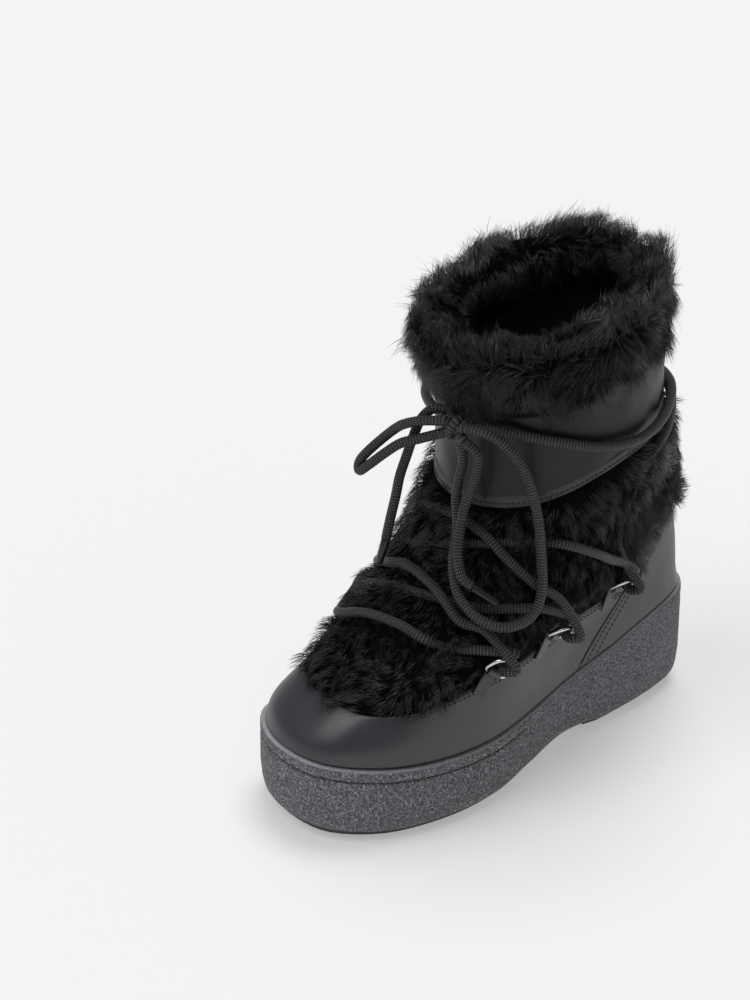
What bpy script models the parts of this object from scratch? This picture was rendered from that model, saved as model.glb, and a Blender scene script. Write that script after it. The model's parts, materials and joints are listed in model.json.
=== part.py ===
"""Apres-ski boot for the right foot: fur upper on a thick foam cup sole, laced through wire rings.

Lengths in the tables are millimetres in the boot's own frame: the floor is z = 0, the toe points
along -Y and the inner (medial) side of the foot is +X. Meshes are made in metres.
"""

import math

import bmesh
import bpy
import numpy as np

MM = 0.001
GAP = 0.35
FUR_GAP = 0.6

# The ring grid of the upper: columns run toe, medial side, heel, lateral side.
COLUMNS = 40
HALF = COLUMNS // 2

# Sole outline at the lip, from the toe along the medial side to the heel and back.
SOLE_OUTLINE = (
    # x, y
    (-2.0, -139.0),
    (22.0, -131.5),
    (42.5, -106.0),
    (52.5, -72.0),
    (53.5, -39.0),
    (46.0, -5.0),
    (38.0, 30.0),
    (36.0, 69.0),
    (33.0, 104.0),
    (24.0, 130.0),
    (0.0, 139.0),
    (-25.5, 130.5),
    (-35.0, 105.0),
    (-37.5, 72.0),
    (-39.0, 33.0),
    (-45.5, -7.0),
    (-53.5, -47.0),
    (-55.0, -87.0),
    (-48.5, -118.0),
    (-27.5, -134.5),
)
TOE_Y = -139.0
HEEL_Y = 139.0

# Height of the sole's lip, and how far its underside rises above the tread plane.
LIP_HEIGHT = (
    # y, z
    (-139.0, 49.0),
    (-110.0, 45.5),
    (-72.0, 42.5),
    (-20.0, 42.0),
    (20.0, 44.0),
    (60.0, 51.0),
    (92.0, 59.0),
    (139.0, 65.5),
)
UNDERSIDE_RISE = (
    # y, rise
    (-139.0, 3.0),
    (-126.0, 1.2),
    (-110.0, 0.3),
    (-96.0, 0.0),
    (-30.0, 0.0),
    (0.0, 2.2),
    (25.0, 4.0),
    (45.0, 2.5),
    (62.0, 0.0),
    (118.0, 0.0),
    (139.0, 2.2),
)

# The upper's rings from the lip to the collar: front and back points of each ring, its width as a
# share of the sole's, its half width as a round shaft, how far its front lies to the medial side, and
# how far it has turned from sole shape to shaft shape.
UPPER_RINGS = (
    # front_y, front_z, back_y, back_z, share, half, ridge, turned
    (-135.0, 49.3, 135.0, 65.8, 0.930, 47.0, 0.0, 0.00),
    (-131.0, 58.0, 132.0, 77.0, 0.922, 47.0, 1.5, 0.00),
    (-120.5, 68.0, 131.5, 87.0, 0.890, 47.0, 4.0, 0.02),
    (-106.0, 77.5, 130.5, 98.0, 0.870, 47.0, 6.5, 0.08),
    (-90.0, 87.0, 128.5, 110.0, 0.855, 46.0, 7.5, 0.18),
    (-72.5, 98.0, 125.5, 122.0, 0.840, 46.0, 7.0, 0.30),
    (-55.0, 111.0, 122.0, 135.0, 0.835, 46.5, 5.0, 0.45),
    (-39.5, 127.0, 118.0, 149.0, 0.825, 48.0, 4.0, 0.62),
    (-28.0, 145.0, 113.5, 166.0, 0.820, 49.5, 3.0, 0.80),
    (-21.5, 164.0, 109.5, 186.0, 0.820, 50.5, 1.5, 0.93),
    (-18.5, 184.0, 106.0, 208.0, 0.820, 51.0, 0.0, 1.00),
    (-18.5, 205.0, 104.5, 231.0, 0.820, 52.0, -1.0, 1.00),
    (-20.5, 226.0, 104.0, 252.0, 0.820, 53.0, -2.0, 1.00),
    (-23.5, 246.0, 104.0, 271.0, 0.820, 54.5, -2.5, 1.00),
)
TOP_RING = len(UPPER_RINGS) - 1
WALL = 2.2

# Named columns of the tables above.
FRONT_Y, FRONT_Z, BACK_Y, BACK_Z, SHARE, HALF_WIDTH, RIDGE, TURNED = range(8)

# Edges on the upper, in ring numbers at stations round the boot (turn 0 toe, 0.5 heel).
RAND_TOP = (
    # turn, ring
    (0.000, 2.65),
    (0.090, 2.60),
    (0.120, 3.05),
    (0.160, 3.40),
    (0.220, 3.60),
    (0.280, 3.30),
    (0.360, 2.85),
)
COUNTER_TOP = (
    # turn, ring
    (0.340, 3.00),
    (0.365, 3.80),
    (0.400, 4.75),
    (0.450, 5.00),
    (0.500, 5.05),
)
BAND_LOW = (
    # turn, ring
    (0.000, 9.00),
    (0.120, 9.05),
    (0.250, 9.40),
    (0.350, 9.25),
    (0.500, 9.25),
)
BAND_HIGH = (
    # turn, ring
    (0.000, 11.78),
    (0.120, 11.62),
    (0.500, 11.65),
)
COLLAR_HEM = (
    # turn, ring
    (0.000, 11.95),
    (0.120, 11.75),
    (0.500, 11.75),
)
# The seam between rand and counter: its column at the lip, its lean in columns a ring, and the
# column where the fur's lower edge steps up to the counter.
SEAM_FOOT = 12.3
SEAM_LEAN = 0.68
SEAM_STEP = 14.75
SEAM_GAP = 0.03
LEATHER_FOOT = 0.06
VAMP_TO = 12

RAND_THICK = 2.0
BAND_THICK = 3.6
FUR_THICK = 4.0
FUR_LOCK = 3.0
FUR_HEM = 2.6
COLLAR_THICK = 9.5
COLLAR_SWELL = 3.0
COLLAR_LOCK = 3.0
LOCK_FALL = 3.5

LACE_DIAMETER = 5.4


def along(table, where):
    """The table's second column at a value of its first, as a smooth curve."""
    places = [row[0] for row in table]
    values = [row[1] for row in table]
    last = len(places) - 1
    where = min(max(where, places[0]), places[last])
    at = next(i for i in range(last) if where <= places[i + 1])
    share = (where - places[at]) / (places[at + 1] - places[at])

    def slope(i):
        before, after = max(i - 1, 0), min(i + 1, last)
        return (values[after] - values[before]) / (places[after] - places[before])

    span = places[at + 1] - places[at]
    start, end = slope(at) * span, slope(at + 1) * span
    square, cube = share * share, share * share * share
    return (
        (2 * cube - 3 * square + 1) * values[at]
        + (cube - 2 * square + share) * start
        + (3 * square - 2 * cube) * values[at + 1]
        + (cube - square) * end
    )


def round_boot(table, column):
    """An edge's ring number at a column, alike on both sides."""
    turn = (column % COLUMNS) / COLUMNS
    return along(table, min(turn, 1 - turn))


def spline(points, steps, closed=False):
    """Points along a smooth curve through the given ones."""
    points = [np.array(p, float) for p in points]
    count = len(points)
    found = []
    for i in range(count if closed else count - 1):
        if closed:
            a, b, c, d = (points[(i + k) % count] for k in (-1, 0, 1, 2))
        else:
            b, c = points[i], points[i + 1]
            a = points[i - 1] if i else 2 * b - c
            d = points[i + 2] if i + 2 < count else 2 * c - b
        for k in range(steps):
            t = k / steps
            found.append(
                0.5
                * (
                    2 * b
                    + (c - a) * t
                    + (2 * a - 5 * b + 4 * c - d) * t * t
                    + (3 * b - a - 3 * c + d) * t * t * t
                )
            )
    if not closed:
        found.append(points[-1])
    return np.array(found)


def outline(inset=0.0):
    """The sole's outline at the grid's columns, moved inwards."""
    steps = COLUMNS // len(SOLE_OUTLINE)
    points = spline(SOLE_OUTLINE, steps, closed=True)
    way = np.roll(points, -1, axis=0) - np.roll(points, 1, axis=0)
    way /= np.linalg.norm(way, axis=1)[:, None]
    inward = np.stack([-way[:, 1], way[:, 0]], axis=1)
    return points + inset * inward


def upper_grid():
    """Points and outward directions of the upper's outer face, one row a ring."""
    base = outline()
    share_back = (base[:, 1] - TOE_Y) / (HEEL_Y - TOE_Y)
    turn = 2 * math.pi * np.arange(COLUMNS) / COLUMNS
    rows = []
    for ring in UPPER_RINGS:
        turned = ring[TURNED]
        back = (1 - turned) * share_back + turned * (0.5 - 0.5 * np.cos(turn))
        across = (1 - turned) * base[:, 0] * ring[SHARE] + turned * ring[HALF_WIDTH] * np.sin(turn)
        across = across + ring[RIDGE] * (1 - back)
        deep = ring[FRONT_Y] + back * (ring[BACK_Y] - ring[FRONT_Y])
        level = ring[FRONT_Z] + back * (ring[BACK_Z] - ring[FRONT_Z])
        lip = np.array([along(LIP_HEIGHT, y) for y in deep])
        lip_back = along(LIP_HEIGHT, HEEL_Y)
        lip_front = along(LIP_HEIGHT, TOE_Y)
        sag = lip - (lip_front + back * (lip_back - lip_front))
        fade = max(0.0, 1 - len(rows) / 5)
        rows.append(np.stack([across, deep, level + fade * sag], axis=1))
    points = np.array(rows)
    round_way = np.roll(points, -1, axis=1) - np.roll(points, 1, axis=1)
    up_way = np.gradient(points, axis=0)
    outward = np.cross(round_way, up_way)
    outward[0, :, 2] = 0.0
    outward /= np.linalg.norm(outward, axis=2)[:, :, None]
    return points, outward


GRID, OUTWARD = upper_grid()


def on_upper(column, ring, offset=0.0):
    """A point on the upper, or at a distance outside it."""
    ring = min(max(ring, 0.0), float(TOP_RING))
    low = min(int(ring), TOP_RING - 1)
    share = ring - low
    left = math.floor(column)
    beside = column - left
    found = np.zeros(3)
    for k, weight in ((0, 1 - beside), (1, beside)):
        if not weight:
            continue
        at = (left + k) % COLUMNS
        for j, part in ((low, 1 - share), (low + 1, share)):
            found += weight * part * (GRID[j, at] + offset * OUTWARD[j, at])
    return found


def collection(name):
    made = bpy.data.collections.new(name)
    bpy.context.scene.collection.children.link(made)
    return made


def material(name, colour, roughness, metallic=0.0):
    made = bpy.data.materials.new(name)
    made.use_nodes = True
    shader = made.node_tree.nodes["Principled BSDF"]
    shader.inputs["Base Color"].default_value = (*colour, 1.0)
    shader.inputs["Roughness"].default_value = roughness
    shader.inputs["Metallic"].default_value = metallic
    return made


def mesh_object(name, points, faces, where, look, smooth=40.0):
    """One object from points in millimetres and faces of any order."""
    mesh = bpy.data.meshes.new(name)
    mesh.from_pydata([tuple(float(v) * MM for v in p) for p in points], [], faces)
    work = bmesh.new()
    work.from_mesh(mesh)
    bmesh.ops.recalc_face_normals(work, faces=work.faces)
    if work.calc_volume(signed=True) < 0:
        bmesh.ops.reverse_faces(work, faces=work.faces)
    work.to_mesh(mesh)
    work.free()
    mesh.shade_smooth()
    mesh.set_sharp_from_angle(angle=math.radians(smooth))
    mesh.materials.append(look)
    made = bpy.data.objects.new(name, mesh)
    where.objects.link(made)
    return made


def ladder(ring, flip=False):
    """Faces that close a boot-shaped ring from side to side."""
    count = len(ring)
    half = count // 2
    faces = [(ring[0], ring[1], ring[count - 1])]
    for i in range(1, half - 1):
        faces.append((ring[i], ring[i + 1], ring[count - i - 1], ring[count - i]))
    faces.append((ring[half - 1], ring[half], ring[half + 1]))
    return [tuple(reversed(f)) for f in faces] if flip else faces


def stacked_rings(rings, close_ends=True):
    """Points and faces of a skin over closed rings, its ends filled across."""
    count = len(rings[0])
    points = [p for ring in rings for p in ring]
    faces = []
    for j in range(len(rings) - 1):
        for i in range(count):
            k = (i + 1) % count
            faces.append((j * count + i, j * count + k, (j + 1) * count + k, (j + 1) * count + i))
    if close_ends:
        faces += ladder(list(range(count)), flip=True)
        first = (len(rings) - 1) * count
        faces += ladder(list(range(first, first + count)))
    return points, faces


def split(a, b, c, d):
    """A four-cornered face as two, always along the same diagonal, so that layers nest."""
    return [(a, b, c), (a, c, d)]


def even_levels(low, high, shares):
    """Row heights, as ring numbers at a column, at shares of the way between two edges."""
    return lambda column: [low(column) + share * (high(column) - low(column)) for share in shares]


def patch(columns, levels, inner, outer, closed=False, lock=0.0, fall=0.0):
    """Points and faces of a piece laid on the upper.

    levels gives the ring number of each row at a column; inner and outer are distances from the
    upper, outer one for each row. With a lock, the outer face stands up in tufts that fall towards
    the sole, lower in the first row.
    """
    count = len(columns)
    rows = len(outer) - 1
    points = []
    for depths in ([inner] * (rows + 1), outer):
        for row, depth in enumerate(depths):
            for column in columns:
                if callable(column):
                    column = column(row, levels)
                points.append(on_upper(column, levels(column)[row], depth))
    faces = []
    layer = (rows + 1) * count
    across = count if closed else count - 1
    for row in range(rows):
        for i in range(across):
            k = (i + 1) % count
            a, b = row * count + i, row * count + k
            c, d = (row + 1) * count + k, (row + 1) * count + i
            faces += [tuple(reversed(f)) for f in split(a, b, c, d)]
            outer_face = [layer + n for n in (a, b, c, d)]
            if not lock:
                faces += split(*outer_face)
                continue
            corners = [points[n] for n in outer_face]
            middle = sum(corners) / 4
            up = corners[3] + corners[2] - corners[0] - corners[1]
            up /= np.linalg.norm(up)
            out = middle - sum(points[n - layer] for n in outer_face) / 4
            out /= np.linalg.norm(out)
            tall = lock * (0.4 if row == 0 else 1.0)
            points.append(middle + tall * out - fall * up)
            tip = len(points) - 1
            faces += [(outer_face[n], outer_face[(n + 1) % 4], tip) for n in range(4)]
    for i in range(across):
        k = (i + 1) % count
        faces.append((i, k, layer + k, layer + i))
        top = rows * count
        faces.append((top + k, top + i, layer + top + i, layer + top + k))
    if not closed:
        for row in range(rows):
            a, b = row * count, (row + 1) * count
            faces.append((b, a, layer + a, layer + b))
            a, b = a + count - 1, b + count - 1
            faces.append((a, b, layer + b, layer + a))
    return points, faces


def level_ring(inset, height):
    """A ring of the sole: its outline moved inwards, at a height that follows the boot's length."""
    return [(x, y, height(y)) for x, y in outline(inset)]


def lip(drop):
    return lambda y: along(LIP_HEIGHT, y) - drop


FOAM_UNDER = 4.0


def rise(y):
    """How far the underside lifts from the tread plane at a place along the boot."""
    return max(0.0, along(UNDERSIDE_RISE, y))


def under(lift):
    return lambda y: FOAM_UNDER + rise(y) + lift


# Half the sole's section from its underside up and over the lip into the foot-bed recess.
SOLE_SECTION = (
    # inset, height
    (9.0, under(0.0)),
    (4.0, under(0.6)),
    (1.4, under(3.0)),
    (0.3, under(7.5)),
    (-0.4, under(16.0)),
    (0.3, lip(9.5)),
    (2.0, lip(7.0)),
    (1.6, lip(5.4)),
    (0.0, lip(4.4)),
    (-0.2, lip(1.6)),
    (0.7, lip(0.3)),
    (9.0, lip(0.3)),
    (10.0, lip(12.0)),
)
INSOLE_SECTION = (
    # inset, height
    (10.6, lip(11.6)),
    (10.4, lip(8.4)),
    (11.6, lip(7.6)),
)


def make_from_sections(name, section, where, look):
    rings = [level_ring(inset, height) for inset, height in section]
    points, faces = stacked_rings(rings)
    return mesh_object(name, points, faces, where, look, 50.0)


def make_upper(where, look):
    rings = [[on_upper(i, ring) for i in range(COLUMNS)] for ring in range(TOP_RING + 1)]
    rings += [
        [on_upper(i, ring, -WALL) for i in range(COLUMNS)] for ring in range(TOP_RING, -1, -1)
    ]
    count = COLUMNS
    points = [p for ring in rings for p in ring]
    faces = []
    for j in range(len(rings)):
        below = ((j + 1) % len(rings)) * count
        for i in range(count):
            k = (i + 1) % count
            corners = (j * count + i, j * count + k, below + k, below + i)
            faces += split(*corners)
    return mesh_object("upper", points, faces, where, look)


def seam(shift, side):
    """The column of the seam between rand and counter, on the medial (1) or lateral (-1) side.

    It leans back as it rises, so the column follows the ring, which follows the piece's own rows.
    """

    def column_at(row, levels):
        column = SEAM_FOOT
        for _ in range(8):
            column = SEAM_FOOT + SEAM_LEAN * levels(side * column)[row] + shift
        return side * column

    return column_at


def leather_levels(top, whole_rings):
    """Rows of a leather piece: on the upper's own rings as far as they go, then its upper edge."""

    def levels(column):
        edge = round_boot(top, column)
        last = whole_rings[-1]
        return [LEATHER_FOOT, *whole_rings, last + 0.6 * (edge - last), edge]

    return levels


def make_rand(where, look):
    last = int(SEAM_FOOT)
    columns = [seam(-SEAM_GAP, -1), *range(-last, last + 1), seam(-SEAM_GAP, 1)]
    levels = leather_levels(RAND_TOP, (1.0, 2.0))
    points, faces = patch(columns, levels, GAP, [GAP + RAND_THICK] * 5)
    return mesh_object("rand", points, faces, where, look)


def make_counter(where, look):
    first = math.ceil(SEAM_STEP)
    columns = [seam(SEAM_GAP, 1), *range(first, COLUMNS - first + 1), seam(SEAM_GAP, -1)]
    levels = leather_levels(COUNTER_TOP, (1.0, 2.0, 3.0))
    points, faces = patch(columns, levels, GAP, [GAP + RAND_THICK] * 6)
    return mesh_object("heel_counter", points, faces, where, look)


def leather_top(column):
    """The upper edge of whichever leather piece lies at a column."""
    turn = (column % COLUMNS) / COLUMNS
    turn = min(turn, 1 - turn)
    behind = turn * COLUMNS > SEAM_STEP - 0.02
    return round_boot(COUNTER_TOP if behind else RAND_TOP, column) + 0.06


def band_foot(column):
    return round_boot(BAND_LOW, column) - 0.05


def fur_patch(columns, rows):
    """Short fur between the leather and the band, thinner where it meets the leather."""
    shares = [row / rows for row in range(rows + 1)]
    levels = even_levels(leather_top, band_foot, shares)
    depths = [FUR_HEM + (FUR_THICK - FUR_HEM) * min(1.0, 4 * share) for share in shares]
    return patch(columns, levels, FUR_GAP, depths, lock=FUR_LOCK, fall=LOCK_FALL)


def fur_bays(cutters):
    """One loose mesh of the boxes that clear the fur round the wire rings."""
    work = bmesh.new()
    for _, _, column in RING_COLUMNS:
        centre, side, up, out = ring_frame(column)
        made = bmesh.ops.create_cube(work, size=1.0)
        for vert in made["verts"]:
            x, y, z = vert.co
            lift = BAY_ABOVE if y > 0 else -BAY_BELOW
            place = centre + 2 * BAY_HALF * x * side + lift * up + BAY_DEEP * z * out
            vert.co = place * MM
    bmesh.ops.recalc_face_normals(work, faces=work.faces)
    mesh = bpy.data.meshes.new("fur_bays")
    work.to_mesh(mesh)
    work.free()
    bays = bpy.data.objects.new("fur_bays", mesh)
    bays.hide_render = True
    bays.display_type = "WIRE"
    cutters.objects.link(bays)
    return bays


def cut(piece, cutter, operation="DIFFERENCE"):
    made = piece.modifiers.new(cutter.name, "BOOLEAN")
    made.operation = operation
    made.solver = "EXACT"
    made.object = cutter
    return made


def make_vamp_fur(where, look):
    columns = [i % COLUMNS for i in range(-VAMP_TO, VAMP_TO + 1)]
    points, faces = fur_patch(columns, 6)
    return mesh_object("vamp_fur", points, faces, where, look)


def make_quarter_fur(where, look):
    last = int(SEAM_STEP)
    side = [VAMP_TO + 0.06, *range(VAMP_TO + 1, last + 1), SEAM_STEP]
    columns = [*side, *range(last + 1, COLUMNS - last), *(COLUMNS - c for c in reversed(side))]
    points, faces = fur_patch(columns, 5)
    return mesh_object("quarter_fur", points, faces, where, look)


def make_band(where, look):
    """The coated ankle band: a padded strip with a flatter binding along its lower edge."""
    shares = (0.0, 0.14, 0.18, 0.55, 1.0)
    depths = (0.60, 0.66, 0.94, 1.0, 0.8)
    levels = even_levels(
        lambda c: round_boot(BAND_LOW, c), lambda c: round_boot(BAND_HIGH, c), shares
    )
    outer = [GAP + BAND_THICK * depth for depth in depths]
    points, faces = patch(list(range(COLUMNS)), levels, GAP, outer, closed=True)
    return mesh_object("ankle_band", points, faces, where, look)


def collar_depth(column):
    """The cuff's depth, fullest over the front of the lateral side."""
    turn = column / COLUMNS
    return COLLAR_THICK + COLLAR_SWELL * math.cos(2 * math.pi * (turn - 0.88))


# The cuff's section: the share of the way from hem to rim, the share of its full depth and the
# rise over the rim, with what lies inside the boot at negative depths.
COLLAR_FACE = (
    # share, depth, rise
    (0.00, 0.55, 0.0),
    (0.22, 1.05, 0.0),
    (0.90, 1.10, 0.0),
    (1.00, 0.85, 7.0),
    (1.00, 0.15, 11.5),
    (1.00, -0.60, 8.5),
    (1.00, -0.90, 0.0),
    (0.45, -0.60, 0.0),
)


def make_collar(where, look):

    def cuff_point(column, share, reach, rise):
        hem = round_boot(COLLAR_HEM, column)
        point = on_upper(column, hem + share * (TOP_RING - hem), reach)
        return point + np.array([0.0, 0.0, rise])

    rings = []
    for share, depth, rise in COLLAR_FACE:
        under_wall = WALL if depth < 0 else 0.0
        rings.append(
            [cuff_point(c, share, depth * collar_depth(c) - under_wall, rise) for c in range(COLUMNS)]
        )
    inner = -WALL - GAP
    seat = ((0.45, inner, 0.0), (1.0, inner, GAP), (1.0, GAP, GAP), (0.45, GAP, 0.0), (0.0, GAP, 0.0))
    for share, reach, rise in seat:
        rings.append([cuff_point(c, share, reach, rise) for c in range(COLUMNS)])
    points = [p for row in rings for p in row]
    faces = []
    total = len(rings)
    tufted = len(COLLAR_FACE) - 1
    for j in range(total):
        below = ((j + 1) % total) * COLUMNS
        for i in range(COLUMNS):
            k = (i + 1) % COLUMNS
            corners = (j * COLUMNS + i, j * COLUMNS + k, below + k, below + i)
            if j >= tufted - 2:
                faces += split(*corners)
                continue
            a, b, c, d = (points[n] for n in corners)
            out = np.cross(b - a, d - a)
            out /= np.linalg.norm(out)
            points.append((a + b + c + d) / 4 + COLLAR_LOCK * out - np.array([0, 0, LOCK_FALL]))
            tip = len(points) - 1
            faces += [(corners[n], corners[(n + 1) % 4], tip) for n in range(4)]
    return mesh_object("collar_fur", points, faces, where, look)


# Each tread pad: the columns of the outline that bound it, and its rows from the toe back.
PAD_INSET = 6.0
PAD_TOP = FOAM_UNDER - 0.6
PAD_PLATE = 2.0
PAD_RIM = 1.0
PAD_RIM_WIDTH = 3.0
LUG_ROOT = 0.7
STUD_RADIUS = 4.0
STUD_TIP_RADIUS = 3.2
STUD_SIDES = 6
FOREFOOT_ROWS = (
    # y, kind, count
    (-125.5, "rib", 1),
    (-121.5, "rib", 1),
    (-117.0, "rib", 1),
    (-112.5, "rib", 1),
    (-108.0, "rib", 1),
    (-99.0, "stud", 5),
    (-88.0, "stud", 6),
    (-78.5, "bar", 4),
    (-69.0, "stud", 6),
    (-59.5, "bar", 4),
    (-50.0, "stud", 6),
    (-40.5, "bar", 4),
    (-31.0, "stud", 5),
    (-20.0, "stud", 5),
)
HEEL_ROWS = (
    # y, kind, count
    (62.0, "stud", 4),
    (71.5, "bar", 3),
    (81.0, "stud", 4),
    (90.5, "bar", 3),
    (100.0, "stud", 4),
    (110.0, "stud", 4),
    (119.5, "rib", 1),
    (124.0, "rib", 1),
)
FOREFOOT_COLUMNS = range(-10, 11)
HEEL_COLUMNS = range(13, 28)
ROW_MARGIN = 5.5
BAR_DEEP = 2.6
BAR_GAP = 3.0
RIB_DEEP = 2.0


def pad_span(columns, y):
    """The pad's extent across the boot at a place along it."""
    edge = outline(PAD_INSET + ROW_MARGIN)
    found = []
    ring = [edge[c % COLUMNS] for c in columns]
    for a, b in zip(ring, ring[1:]):
        if (a[1] - y) * (b[1] - y) <= 0 and a[1] != b[1]:
            found.append(a[0] + (y - a[1]) / (b[1] - a[1]) * (b[0] - a[0]))
    return min(found), max(found)


def tread_lugs(columns, rows):
    """All of a pad's studs, bars and ribs as one loose mesh, in metres."""
    work = bmesh.new()
    for y, kind, count in rows:
        left, right = pad_span(columns, y)
        tall = PAD_PLATE + LUG_ROOT
        level = rise(y) + tall / 2
        if kind == "stud":
            for x in np.linspace(left + STUD_RADIUS, right - STUD_RADIUS, count):
                made = bmesh.ops.create_cone(
                    work,
                    cap_ends=True,
                    segments=STUD_SIDES,
                    radius1=STUD_TIP_RADIUS * MM,
                    radius2=STUD_RADIUS * MM,
                    depth=tall * MM,
                )
                centre = (x * MM, y * MM, level * MM)
                bmesh.ops.translate(work, vec=centre, verts=made["verts"])
            continue
        deep = BAR_DEEP if kind == "bar" else RIB_DEEP
        wide = (right - left - (count - 1) * BAR_GAP) / count
        for n in range(count):
            made = bmesh.ops.create_cube(work, size=1.0)
            bmesh.ops.scale(work, vec=(wide * MM, deep * MM, tall * MM), verts=made["verts"])
            x = left + wide / 2 + n * (wide + BAR_GAP)
            centre = (x * MM, y * MM, level * MM)
            bmesh.ops.translate(work, vec=centre, verts=made["verts"])
    mesh = bpy.data.meshes.new("lugs")
    work.to_mesh(mesh)
    work.free()
    return mesh


def make_tread(name, columns, rows, where, cutters, look):
    def ring(inset, lift):
        edge = outline(inset)
        found = []
        for c in columns:
            x, y = edge[c % COLUMNS]
            found.append((x, y, rise(y) + lift))
        return found

    count = len(columns)
    sections = (
        ring(PAD_INSET, PAD_TOP),
        ring(PAD_INSET, PAD_RIM),
        ring(PAD_INSET + PAD_RIM_WIDTH, PAD_RIM),
        ring(PAD_INSET + PAD_RIM_WIDTH + 0.5, PAD_PLATE),
    )
    points = [p for section in sections for p in section]
    faces = []
    for j in range(len(sections) - 1):
        for i in range(count):
            k = (i + 1) % count
            a, b = j * count + i, j * count + k
            faces.append((a, b, b + count, a + count))
    for first in (0, (len(sections) - 1) * count):
        for i in range(count // 2):
            a, b = first + i, first + count - 1 - i
            if b - a == 2:
                faces.append((a, a + 1, b))
            elif b > a:
                faces.append((a, a + 1, b - 1, b))
    pad = mesh_object(name, points, faces, where, look)
    lugs = bpy.data.objects.new(name + "_lugs", tread_lugs(columns, rows))
    lugs.hide_render = True
    lugs.display_type = "WIRE"
    cutters.objects.link(lugs)
    cut(pad, lugs, "UNION")
    return pad


# The wire rings and their tabs, by the column where each stands at the rand's edge.
RING_COLUMNS = (
    # side, number, column
    ("medial", 1, 5.9),
    ("medial", 2, 8.7),
    ("medial", 3, 13.1),
    ("lateral", 1, 34.2),
    ("lateral", 2, 31.8),
    ("lateral", 3, 27.8),
)
WIRE_RADIUS = 1.1
RING_WIDE = 6.5
RING_TALL = 12.5
RING_PLAY = 1.8
RING_LEAN = math.radians(45)
BAR_OUT = 6.1
BAR_OVER_EDGE = 7.0
TAB_WIDE = 8.0
TAB_LONG = 15.0
# The bay in the fur's hem in which each ring stands: its half width, and its reach below and above
# the bar.
BAY_HALF = 9.5
BAY_BELOW = 12.0
BAY_ABOVE = 7.0
BAY_DEEP = 16.0
TAB_THICK = 1.1
TAB_PLAY = 0.4


def ring_frame(column):
    """A ring's bar centre and its directions: along the bar, up the boot and straight out."""
    edge = round_boot(RAND_TOP, column)
    base = on_upper(column, edge)
    higher = on_upper(column, edge + 0.3)
    beside = on_upper(column + 0.3, edge)
    up = (higher - base) / np.linalg.norm(higher - base)
    out = np.cross(beside - base, up)
    out /= np.linalg.norm(out)
    side = np.cross(up, out)
    return base + BAR_OUT * out + BAR_OVER_EDGE * up, side, up, out


def ring_plane(column):
    """The ring's own up and outward directions, leaning away from the boot."""
    centre, side, up, out = ring_frame(column)
    lean_up = math.cos(RING_LEAN) * up + math.sin(RING_LEAN) * out
    lean_out = math.cos(RING_LEAN) * out - math.sin(RING_LEAN) * up
    return centre, side, lean_up, lean_out


def tube(name, points, radius, where, look, sides=2, cyclic=False):
    """A cord or wire along points in millimetres."""
    data = bpy.data.curves.new(name, "CURVE")
    data.dimensions = "3D"
    data.bevel_depth = radius * MM
    data.bevel_resolution = sides
    data.use_fill_caps = not cyclic
    line = data.splines.new("POLY")
    line.points.add(len(points) - 1)
    for at, point in zip(line.points, points):
        at.co = (*(float(v) * MM for v in point), 1.0)
    line.use_cyclic_u = cyclic
    data.materials.append(look)
    made = bpy.data.objects.new(name, data)
    where.objects.link(made)
    return made


def make_ring(side_name, number, column, where, look):
    centre, side, up, _ = ring_plane(column)
    straight = RING_TALL - RING_WIDE
    shape = [(-RING_WIDE, 0.0), (RING_WIDE, 0.0), (RING_WIDE, straight)]
    shape += [
        (RING_WIDE * math.cos(turn), straight + RING_WIDE * math.sin(turn))
        for turn in np.radians((30, 60, 90, 120, 150))
    ]
    shape.append((-RING_WIDE, straight))
    points = [centre + x * side + y * up for x, y in shape]
    return tube(f"ring_{side_name}_{number}", points, WIRE_RADIUS, where, look, 1, True)


def make_tab(side_name, number, column, where, look):
    """A strip on the rand whose head turns over the ring's bar."""
    centre, side, up, out = ring_frame(column)
    hole = WIRE_RADIUS + TAB_PLAY
    outer = hole + TAB_THICK
    under_strip = -outer
    section = [(-TAB_LONG, under_strip), (0.0, under_strip)]
    turns = np.radians((-60, -20, 20, 60, 100, 140, 180))
    section += [(outer * math.cos(t), outer * math.sin(t)) for t in turns]
    section += [(hole * math.cos(t), hole * math.sin(t)) for t in reversed(turns)]
    section += [(0.0, -hole), (-TAB_LONG, -hole)]
    count = len(section)
    points = []
    for across in (-TAB_WIDE / 2, TAB_WIDE / 2):
        points += [centre + across * side + s * up + n * out for s, n in section]
    faces = [tuple(range(count)), tuple(range(2 * count - 1, count - 1, -1))]
    for i in range(count):
        k = (i + 1) % count
        faces.append((i, k, count + k, count + i))
    return mesh_object(f"tab_{side_name}_{number}", points, faces, where, look)


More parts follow.
